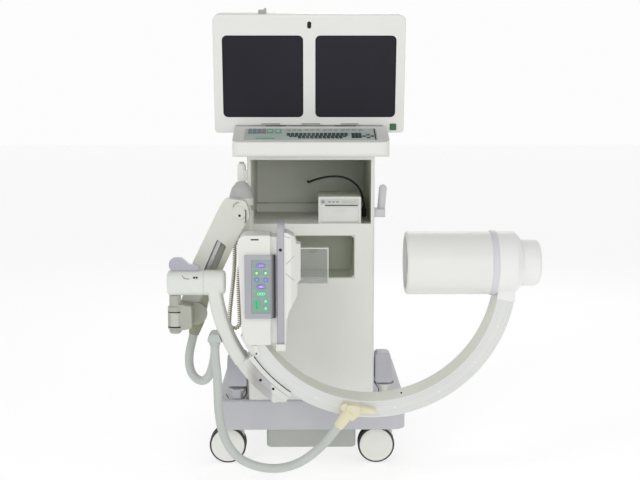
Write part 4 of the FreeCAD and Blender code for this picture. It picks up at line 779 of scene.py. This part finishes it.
def coil_line(centre, radius, pitch, per_turn=14):
    """A helix round a line, with straight leads at its two ends."""
    total = line_length(centre)
    rings = frames_along(centre)
    marks = [0.0]
    for a, b in zip(centre, centre[1:]):
        marks.append(marks[-1] + (b - a).length)
    count = int(total / pitch * per_turn)
    out, i = [], 0
    for k in range(count + 1):
        t = total * k / count
        while i < len(marks) - 2 and marks[i + 1] < t:
            i += 1
        share = (t - marks[i]) / max(marks[i + 1] - marks[i], 1e-9)
        p = rings[i][0].lerp(rings[i + 1][0], share)
        side = rings[i][2].lerp(rings[i + 1][2], share).normalized()
        other = rings[i][3].lerp(rings[i + 1][3], share).normalized()
        grow = min(1.0, t / 0.022, (total - t) / 0.022)
        a = 2 * math.pi * k / per_turn
        out.append(p + (side * math.cos(a) + other * math.sin(a)) * radius * grow)
    return out


spine = nurbs_line("curly_line", CURLY_CORD, 12)
curl = coil_line(spine, 0.0056, 0.0068)
cord = piece("curly_lead", "cart", tube("curly_lead", curl, 0.0019, 8), cord_beige, 60.0)
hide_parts("curly_cord")
line_length(curl)

line = nurbs_line("printer_line", PRINTER_CABLE)
cable = piece("printer_lead", "cart", tube("printer_lead", line, 0.0036, 14), dark_rubber,
              60.0)
plug = piece("printer_plug", "cart", lathe("printer_plug", [
    (3.6, 0), (5.6, -3), (6.0, -10), (8.4, -13), (8.6, -36), (7.4, -39)], PRINTER_CABLE[-1], (0, 0, 1), 32),
    dark_rubber)
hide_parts("printer_cable")
line_length(line)

# What repeats


def repeat_tree(name, round_piece):
    """A tree that stands one small block or disc on each point of a mesh."""
    tree = bpy.data.node_groups.new(name, "GeometryNodeTree")
    face = tree.interface
    for label, kind in (("Geometry", "Geometry"), ("Width", "Float"), ("Depth", "Float"), ("Height", "Float"),
                        ("Turn", "Vector"), ("Finish", "Material")):
        face.new_socket(label, in_out="INPUT", socket_type="NodeSocket" + kind)
    face.new_socket("Geometry", in_out="OUTPUT", socket_type="NodeSocketGeometry")
    made = {}
    for label, kind in (("given", "NodeGroupInput"), ("result", "NodeGroupOutput"),
                        ("place", "GeometryNodeInstanceOnPoints"), ("real", "GeometryNodeRealizeInstances"),
                        ("finish", "GeometryNodeSetMaterial")):
        made[label] = tree.nodes.new(kind)
    given = made["given"].outputs
    if round_piece:
        form = tree.nodes.new("GeometryNodeMeshCylinder")
        form.inputs["Vertices"].default_value = 14
        half = tree.nodes.new("ShaderNodeMath")
        half.operation = "MULTIPLY"
        half.inputs[1].default_value = 0.5
        tree.links.new(given["Width"], half.inputs[0])
        tree.links.new(half.outputs[0], form.inputs["Radius"])
        tree.links.new(given["Height"], form.inputs["Depth"])
    else:
        form = tree.nodes.new("GeometryNodeMeshCube")
        size = tree.nodes.new("ShaderNodeCombineXYZ")
        for i, label in enumerate(("Width", "Depth", "Height")):
            tree.links.new(given[label], size.inputs[i])
        tree.links.new(size.outputs[0], form.inputs["Size"])
    for source, label, entry in (
            (given["Geometry"], "place", "Points"), (form.outputs["Mesh"], "place", "Instance"),
            (given["Turn"], "place", "Rotation"), (made["place"].outputs[0], "real", 0),
            (made["real"].outputs[0], "finish", "Geometry"), (given["Finish"], "finish", "Material"),
            (made["finish"].outputs[0], "result", 0)):
        tree.links.new(source, made[label].inputs[entry])
    return tree


BLOCKS, DISCS = repeat_tree("blocks_on_points", False), repeat_tree("discs_on_points", True)


def repeated(name, body, places, size, turn, finish, round_piece=False):
    """One mesh of the same small piece at each place. size is width, depth and height in millimetres."""
    mesh = bpy.data.meshes.new(name + "_places")
    mesh.from_pydata([tuple(p) for p in places], [], [])
    carrier = placed(name + "_places", mesh)
    tree = DISCS if round_piece else BLOCKS
    step = carrier.modifiers.new("repeat", "NODES")
    step.node_group = tree
    wanted = dict(zip(("Width", "Depth", "Height"), (length / 1000 for length in size)))
    wanted.update(Turn=turn, Finish=finish)
    for item in tree.interface.items_tree:
        if item.in_out == "INPUT" and item.name in wanted:
            step[item.identifier] = wanted[item.name]
    done = mesh_as_seen(carrier)
    done.materials.clear()
    return piece(name, body, done, finish)


def strip(name, body, places, width, finish, lift=0.25):
    """A thin line laid on a front face through places given as x, y, z in millimetres."""
    points, faces = [], []
    for i, (x, y, z) in enumerate(places):
        a, b = places[max(i - 1, 0)], places[min(i + 1, len(places) - 1)]
        run = Vector((b[0] - a[0], b[2] - a[2])).normalized()
        nx, nz = -run.y * width / 2, run.x * width / 2
        points += [spot(x + nx, y - lift, z + nz), spot(x - nx, y - lift, z - nz),
                   spot(x - nx, y + lift, z - nz), spot(x + nx, y + lift, z + nz)]
    for i in range(len(places) - 1):
        p, q = i * 4, i * 4 + 4
        for k in range(4):
            j = (k + 1) % 4
            faces.append((p + k, p + j, q + j, q + k))
    faces += [(0, 1, 2, 3), tuple(len(points) - 4 + k for k in range(4))[::-1]]
    return piece(name, body, mesh_of(name, points, faces), finish)


def facing_front(y):
    """Outline u, v as x, z, with its height drawn towards the front from y."""
    return lambda u, v, h: spot(u, y - h, v)


def plate(name, body, outline, low, high, to_place, finish, edge=0.0):
    """A piece drawn out from its outline between two heights on a face."""
    return piece(name, body, slab(name, outline, low, high, to_place, edge), finish)


def turned(name, body, profile, centre, axis, steps, finish):
    """A turned piece; its profile is (radius, distance along the axis)."""
    return piece(name, body, lathe(name, profile, centre, axis, steps), finish)


# Casters

AXLE_BACK, AXLE_Z = 31.0, 62.5
TREAD = [
    (8.0, 6.7), (50.0, 6.7), (56.0, 6.8), (60.0, 8.0), (62.0, 10.5), (62.4, 13.0), (62.4, 20.0),
    (61.8, 22.6), (60.4, 24.4), (58.8, 25.0), (57.6, 24.8), (57.2, 23.6), (56.4, 23.6), (56.0, 25.2),
    (54.4, 26.1), (40.0, 26.5), (38.0, 26.2), (30.0, 26.4), (20.0, 26.9), (14.0, 27.2), (11.0, 27.2),
    (9.0, 27.3), (7.0, 27.3), (6.0, 27.4), (0.01, 27.4)]
TREAD_MARKS = [1] + [0] * 12 + [1] * 11
for corner, x, y in (("fl", -252, -195), ("fr", 252, -195), ("bl", -252, 318), ("br", 252, 318)):
    axle = (x - AXLE_BACK, y, AXLE_Z)
    sides = [lathe("side", TREAD, axle, (0, way, 0), 56, TREAD_MARKS) for way in (-1, 1)]
    sides.append(lathe("axle", [(4.9, -6.6), (4.9, 6.6)], axle, (0, 1, 0), 20, [1]))
    label = "wheel_pair_" + corner
    wheel = piece(label, "wheels_" + corner, joined(label, sides), [tyre_rubber, disc_white])
    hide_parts("caster_wheels_" + corner)

# Keyboard

KEY_PITCH = 13.2
SLOPE = math.atan2(DECK_BACK[1] - DECK_FRONT[1], DECK_BACK[0] - DECK_FRONT[0])


def keys(name, places, up, size, finish, round_piece=False):
    """Keys of one kind on the membrane, at places given as x and the way up the deck."""
    repeated(name, "cart", [on_deck(x, along, up) for x, along in places], size,
             (SLOPE, 0, 0), finish, round_piece)


key_base = plate("key_membrane", "cart", rounded(-211.5, 211.5, 12.5, 129.2, 6.0),
                 -1.9, 0.3, on_deck, key_sheet, 0.3)
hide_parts("keypad")
letters = []
for first, last, along in ((-76, 112, 74), (-76, 112, 60), (-68, 112, 46), (-40, 104, 32)):
    letters += [(first + 4 + k * KEY_PITCH, along) for k in range(int((last - first) / KEY_PITCH) + 1)]
keys("letter_keys", letters, 1.1, (10.4, 9.6, 1.9), key_grey)
keys("number_pad", [(x, along) for x in (135, 146, 157) for along in (35, 48, 61, 74)], 1.1,
     (9.6, 9.6, 1.9), key_grey)
keys("function_keys", [(-72 + k * 17.5 + (k // 3) * 6, 112) for k in range(13)], 1.0,
     (13.0, 8.0, 1.4), key_pale)
keys("image_keys", [(-196 + k * 14.6, along) for k in range(4) for along in (86, 112)], 1.0,
     (12.4, 22.0, 1.5), key_slate)
keys("green_keys", [(-132, 99), (-106, 99)], 0.9, (21.0, 44.0, 1.2), key_teal)
keys("green_dots", [(-132, 99), (-106, 99)], 1.4, (15.0, 15.0, 1.4), key_spring, True)
keys("row_keys", [(-172 + k * 10.4, 28) for k in range(6)], 0.9, (9.0, 7.0, 1.2), key_green)
keys("cursor_keys", [(183, 62), (183, 34), (170, 48), (196, 48)], 1.1, (11.0, 9.0, 1.9), key_grey)
plate("deck_edge_line", "cart", rectangle(203.5, 207.5, 16, 126), 0.25, 0.9, on_deck, gap_black)

# Monitor


def on_bezel(u, v, h):
    """Outline u, v on the bezel's face, with its height drawn towards the front."""
    return on_monitor(u, -h, v)


for side in (-1, 1):
    centre = side * (SCREEN_GAP + SCREEN_W) / 2
    outer = rounded(centre - 130.6, centre + 130.6, SCREEN_LOW + 0.4, SCREEN_LOW + 264.6, 15.6, 8)
    inner = rounded(centre - 127.8, centre + 127.8, SCREEN_LOW + 3.2, SCREEN_LOW + 261.8, 13.0, 8)
    points, faces = [], []
    for level, loop in ((0.8, outer), (0.8, inner), (2.9, inner), (2.9, outer)):
        points += [on_monitor(u, level, v) for u, v in loop]
    count = len(outer)
    for ring in range(4):
        after = (ring + 1) % 4
        for i in range(count):
            j = (i + 1) % count
            faces.append((ring * count + i, ring * count + j, after * count + j, after * count + i))
    label = "screen_rim_" + ("left" if side < 0 else "right")
    piece(label, "monitor", mesh_of(label, points, faces), gap_black)
plate("camera_eye", "monitor", rounded(-6.4, 6.4, 339.0, 361.0, 6.0, 6),
      -0.5, 1.4, on_bezel, gap_black, 0.4)
for x0, x1, label in ((-158, -96, "left"), (-26, 36, "middle"), (103, 162, "right")):
    plate("hinge_slot_" + label, "monitor", rounded(x0, x1, 28.6, 31.4, 1.3, 3),
          0.1, 0.5, on_bezel, slot_shadow)

# Head

MEMBRANE_Y = HEAD_FRONT - 10.0 + 1.5
plate("panel_sheet", "c_arc", rounded(-182.6, -124.6, 577.4, 741.6, 2.6),
      0.0, 0.35, facing_front(MEMBRANE_Y), panel_sheet, 0.1)
for i, z in enumerate((715.0, 691.0, 646.5, 622.5)):
    strip("panel_line_%d" % i, "c_arc", [(x, MEMBRANE_Y - 0.4, z) for x in (-182, -125)],
          1.1, line_pale)


def pad_outline(x, z, w, h, grow, radius):
    """A rounded outline round x and z, larger than w and h by grow on every side."""
    return rounded(x - w / 2 - grow, x + w / 2 + grow, z - h / 2 - grow, z + h / 2 + grow, radius, 7)


for name, x, z, w, h, rim, core, dots in (
        ("pad_magnify", -153, 725, 26, 11, key_violet, core_violet, (-7, 0, 7)),
        ("pad_save", -166, 702, 13, 13, key_lime, core_green, ()),
        ("pad_light", -139, 702, 13, 13, key_lime, core_green, ()),
        ("pad_turn_left", -166, 681, 13, 13, key_blue, core_teal, ()),
        ("pad_turn_right", -139, 681, 13, 13, key_violet, core_teal, ()),
        ("pad_swap", -153, 660, 26, 11, key_violet, core_violet, (-6.5, 6.5)),
        ("pad_mode", -153, 638, 30, 13, key_mint, core_mint, (-8, 0, 8)),
        ("pad_contrast", -166, 604, 12, 32, key_mint, key_green, ()),
        ("pad_more", -139, 615, 13, 13, key_mint, core_mint, ()),
        ("pad_less", -139, 593, 13, 13, key_mint, core_mint, ())):
    radius = min(w, h) / 2
    plate(name + "_rim", "c_arc", pad_outline(x, z, w, h, 0.4, radius + 0.3), 0.2, 2.5,
          facing_front(MEMBRANE_Y), rim, 0.6)
    plate(name + "_core", "c_arc", pad_outline(x, z, w, h, -2.6, max(radius - 2.7, 0.6)),
          1.8, 2.8, facing_front(MEMBRANE_Y), core, 0.2)
    for k, across in enumerate(dots):
        turned("%s_dot_%d" % (name, k), "c_arc", [(1.7, 0), (1.7, 0.5), (1.2, 0.8)],
               (x + across, MEMBRANE_Y - 2.6, z), (0, -1, 0), 16, key_grey)
plate("head_slot_dark", "c_arc", rounded(-185.6, -160.4, -496.6, -487.4, 4.4, 5),
      813.1, 813.6, spot, gap_black)
turned("bumper_dot", "c_arc", [(4.9, -6.5), (4.9, -7.5), (0.01, -7.5)],
       (-94, HEAD_FRONT + 10.0, 771), (0, 1, 0), 24, gap_black)


def cone_y(x):
    """How far forward the beam cone's face is at x."""
    return RING_Y - 54.0 if x < -61 else RING_Y - 54.0 + (x + 61) * 24.0 / 28.0


CONE_SEAMS = (((-80, 812), (-60, 806)), ((-76, 727), (-52, 752)), ((-78, 698), (-52, 675)))
for i, ((xa, za), (xb, zb)) in enumerate(CONE_SEAMS):
    seam = [(xa + (xb - xa) * k / 6, za + (zb - za) * k / 6) for k in range(7)]
    strip("cone_seam_%d" % i, "c_arc", [(x, cone_y(x), z) for x, z in seam], 1.6, seam_shade)

# Ring, carriage and arm

repeated("ring_screws", "c_arc", [
    on_ring(419, a, RING_FRONT - 0.4) for a in (246, 262, 280, 300, 320, 338)], (7, 7, 1.4),
    (math.radians(90), 0, 0), cap_white, True)


def arc_line(name, radius, first, last, width, finish, steps=24):
    """A thin line on the carriage's lip, along the ring between two angles."""
    run = []
    for k in range(steps + 1):
        a = math.radians(first + (last - first) * k / steps)
        run.append((RING_X + radius * math.cos(a), LIP_FACE, RING_Z + radius * math.sin(a)))
    return strip(name, "rotor", run, width, finish)


def dot(name, body, place, radius, rise):
    """A small dark round head on a front face."""
    profile = [(radius, -0.3), (radius, rise * 0.6), (radius * 0.8, rise), (0.01, rise)]
    return turned(name, body, profile, place, (0, -1, 0), 18, gap_black)


LIP_FACE = RING_Y - 60.9
arc_line("carriage_shadow", 440.2, 214.6, 235.4, 2.6, gap_black)
arc_line("cover_edge", 456.0, 217.5, 235.6, 0.9, hinge_grey)
for i, (x, z) in enumerate(((-157, 366), (-118, 338))):
    dot("cover_screw_%d" % i, "rotor", (x, LIP_FACE + 0.4, z), 4.2, 1.2)
dot("ring_stop", "c_arc", (279, RING_FRONT + 0.2, 323), 3.0, 1.0)

# the spindle's two dark rings and the ribbed collar between them, on the knuckle
SPINDLE_X, COLLAR_Z = -423.2, 547.5
for i, (z, half) in enumerate(((571.0, 2.0), (524.0, 2.5))):
    turned("spindle_ring_%d" % i, "knuckle_body", [
        (18.4, -half), (23.8, 0.6 - half), (23.8, half - 0.6), (18.4, half)], (SPINDLE_X, RING_Y, z),
        (0, 0, 1), 40, gap_black)
turned("spindle_collar", "knuckle_body", [
    (18.4, -22.0), (23.5, -21.0), (23.5, 21.0), (18.4, 22.0)], (SPINDLE_X, RING_Y, COLLAR_Z), (0, 0, 1), 40,
    collar_grey)
repeated("collar_ribs", "knuckle_body", [
    spot(SPINDLE_X + 23.0 * math.sin(math.radians(a)), RING_Y - 23.0 * math.cos(math.radians(a)), COLLAR_Z)
    for a in (-62, -38, 34, 58)], (1.6, 1.6, 40.0), (0, 0, 0), hinge_grey)


def mark(name, body, y, run, width, finish, lift=0.25):
    """A line on a flat front face at y, through places given as x and z."""
    strip(name, body, [(x, y, z) for x, z in run], width, finish, lift)


# marks on the yoke, then the arm's pivot cap, its shadow line and its dark hardware
YOKE_FRONT = RING_Y - 39.0
mark("yoke_mark", "yoke", YOKE_FRONT, (
    (-395, 690), (-394, 685), (-390, 681), (-384, 679), (-374, 679)), 1.3, gap_black)
for i, x in enumerate((-360, -352)):
    dot("yoke_pin_%d" % i, "yoke", (x, YOKE_FRONT, 683), 3.2, 0.7)
dot("cap_pin", "lift_arm", (-225, ARM_FRONT + 0.2, 864), 4.0, 1.0)
mark("cap_shadow", "lift_arm", ARM_FRONT - 0.6, (
    (-246, 891), (-243, 897), (-238, 902), (-232, 905), (-227, 906)), 2.2, hinge_grey)
mark("arm_stop", "lift_arm", ARM_FRONT - 0.6, (
    (-211, 882), (-205.5, 881), (-205.5, 843), (-210, 841)), 2.4, gap_black)
mark("wall_gasket", "cart", -255.4, ((-206.5, 820), (-206.5, 797)), 3.4, gap_black)

# The bumper posts at the base's front corners

POST_X, POST_Y, POST_BACK, BASE_TOP = 246.0, -215.0, -185.0, 230.0


def bumper_post(side, outline, radii, low, foot):
    """A rounded block from its outline, standing on a turned foot; foot is (radius, height) upwards."""
    label = "left" if side < 0 else "right"
    block = rounded_outline([(side * u, v) for u, v in outline][::side], radii[::side], 8)
    made = plate("bumper_block_" + label, "cart", block, 0.0, 62.0, facing_front(POST_BACK),
                 post_grey, 5.0)
    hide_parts("cord_post_" + label)
    # the dark ring turned just under each block is painted shade, the shadow under the block
    for part, profile, z, finish in (
            ("foot", foot, BASE_TOP, foot_white),
            ("rim", [(28.0, 0.0), (33.5, 1.5), (33.5, 5.0), (31.0, 7.0)], low - 6.0, post_shade)):
        turned("bumper_%s_%s" % (part, label), "cart", profile, (side * POST_X, POST_Y, z),
               (0, 0, 1), 40, finish)


bumper_post(1, [(214, 284), (273, 284), (266, 387), (214, 387)], [9, 10, 18, 12], 284,
            [(13.0, 0.0), (13.0, 22.0), (17.0, 36.0), (30.0, 50.0)])
bumper_post(-1, [(214, 272), (285, 272), (279, 387), (216, 387)], [9, 10, 18, 14], 270,
            [(15.0, 0.0), (15.0, 6.0), (20.0, 16.0), (32.0, 34.0)])
mark("post_seam_right", "cart", -247, (
    (213, 286), (218, 279), (225, 268), (227, 256), (226, 240)), 3.0, gap_black, 0.6)
mark("post_seam_near", "cart", -247.5, ((-285, 248), (-277, 234)), 2.6, gap_black, 0.6)
mark("post_seam_far", "cart", -247.5, (
    (-217, 268), (-217.5, 252), (-221, 240), (-228, 232)), 3.4, gap_black, 0.6)
plate("bumper_neck", "cart", rounded(-264, -236, 230.5, 264, 3.0), 0.0, 22.0,
      facing_front(-226.0), post_grey, 2.0)
# a dark strip of painted shade down the cabinet's edge, beside the left bumper block
plate("corner_edge_shade", "cart", rectangle(-216.5, -211.0, 230.5, 316), 0.0, 6.0,
      facing_front(-240.0), post_shade, 0.8)

# Printer and leaflet holder

PRINTER_FRONT, HOLDER_FRONT, STRIP_Z = -240.0, -287.1, 893.5
plate("printer_strip", "cart", rounded(31, 159, 883, 903, 2.0), -0.3, 0.5,
      facing_front(PRINTER_FRONT), strip_grey, 0.2)
for i, (x, w, h) in enumerate(((40, 11, 9), (61, 8, 5), (74, 8, 5), (87, 8, 5), (126, 46, 8))):
    outline = rounded(x - w / 2, x + w / 2, STRIP_Z - h / 2, STRIP_Z + h / 2, 1.6)
    plate("printer_key_%d" % i, "cart", outline, 0.3, 1.2, facing_front(PRINTER_FRONT),
          liner_white if i == 4 else strip_key, 0.3)
# the bright lines on the holder's top, side and foot are painted highlights, the glint of the clear sheet's
# edges
for label, run, width, finish in (
        ("holder_top", ((-45, 745.2), (57, 745.2)), 3.0, edge_glint),
        ("holder_side", ((55.6, 628), (55.6, 743.5)), 2.8, edge_glint),
        ("holder_foot", ((-45, 627), (54, 627)), 1.6, edge_glint),
        ("holder_top_line", ((-45, 739), (50, 739)), 0.9, edge_grey),
        ("holder_side_line", ((50, 630), (50, 738)), 0.9, edge_grey)):
    strip(label, "cart", [(x, HOLDER_FRONT, z) for x, z in run], width, finish)
mark("bin_seam", "cart", -68.6, ((-60, 762), (138, 762)), 1.6, edge_grey)

# Small pieces on the C

mark("head_slot_front", "c_arc", HEAD_FRONT - 0.1, ((-184, 803), (-160, 803)), 4.0, gap_black)
plate("head_foot", "c_arc", rounded(-109, -79, 457, 478, 2.0), 0.0, 22.0,
      facing_front(-504.0), shell_white, 1.0)
plate("ring_bracket", "c_arc", rounded_outline(
    [(-180, 474), (-172, 441), (-164, 438), (-158, 450), (-167, 474)], 2.5, 4), 0.0, 5.0,
    facing_front(RING_FRONT + 0.2), foot_white, 1.0)
plate("beam_shoe", "c_arc", rounded_outline(
    [(572.0, 618.0), (627.0, 608.0), (627.0, 636.0), (619.0, 652.0), (576.0, 652.0)],
    [1.0, 1.0, 8.0, 6.0, 2.0]), -0.6, 110.6, facing_front(RING_Y + 55.0), cap_white, 0.8)
dot("ring_bracket_screw", "c_arc", (-169, -524.6, 449), 3.0, 0.9)

# Floor and light

REACH = 30.0
ground = bpy.data.meshes.new("studio_floor")
ground.from_pydata([(u, v, 0.0) for u, v in rectangle(-REACH, REACH, -REACH, REACH)], [], [(0, 1, 2, 3)])
floor = placed("studio_floor", ground)
floor_paint = Finish("floor_paint", (0.4, 0.4, 0.4, 1.0), 0.9, Emission_Color=(1.0, 1.0, 1.0, 1.0),
                     Emission_Strength=0.70)
ground.materials.append(floor_paint.material)

# the sky lights the part at the first strength, and the second is added where it is seen itself
SKY_LIGHT, SKY_ADDED = 0.46, 0.52
world = bpy.data.worlds.new("studio")
bpy.context.scene.world = world
world.use_nodes = True
sky = world.node_tree
background = sky.nodes["Background"]
rays = sky.nodes.new("ShaderNodeLightPath")
seen, either, level = [sky.nodes.new("ShaderNodeMath") for step in range(3)]
seen.operation = either.operation = "MAXIMUM"
level.operation = "MULTIPLY_ADD"
level.inputs[1].default_value = SKY_ADDED
level.inputs[2].default_value = SKY_LIGHT
for source, target in (
        (rays.outputs["Is Camera Ray"], seen.inputs[0]), (rays.outputs["Is Glossy Ray"], seen.inputs[1]),
        (seen.outputs[0], either.inputs[0]), (rays.outputs["Is Transmission Ray"], either.inputs[1]),
        (either.outputs[0], level.inputs[0]), (level.outputs[0], background.inputs["Strength"])):
    sky.links.new(source, target)
background.inputs["Color"].default_value = (1.0, 1.0, 1.0, 1.0)


def lamp(name, place, aim, size, power):
    """A round lamp at a place, turned to what it lights."""
    data = bpy.data.lights.new(name, "AREA")
    data.shape = "DISK"
    data.size = size
    data.energy = power
    made = placed(name, data)
    made.location = place
    made.rotation_euler = (Vector(aim) - Vector(place)).to_track_quat("-Z", "Y").to_euler()


lamp("key_lamp", (-2.4, -3.2, 3.4), (0.0, 0.0, 0.8), 1.8, 38.0)
lamp("front_lamp", (0.3, -4.6, 1.5), (-0.1, 0.0, 0.8), 1.6, 20.0)
lamp("fill_lamp", (3.0, -2.6, 2.0), (0.0, 0.0, 0.8), 2.4, 16.0)
lamp("back_lamp", (0.6, 3.4, 2.8), (0.0, 0.0, 0.8), 2.0, 20.0)

bpy.context.scene.view_settings.view_transform = "Standard"
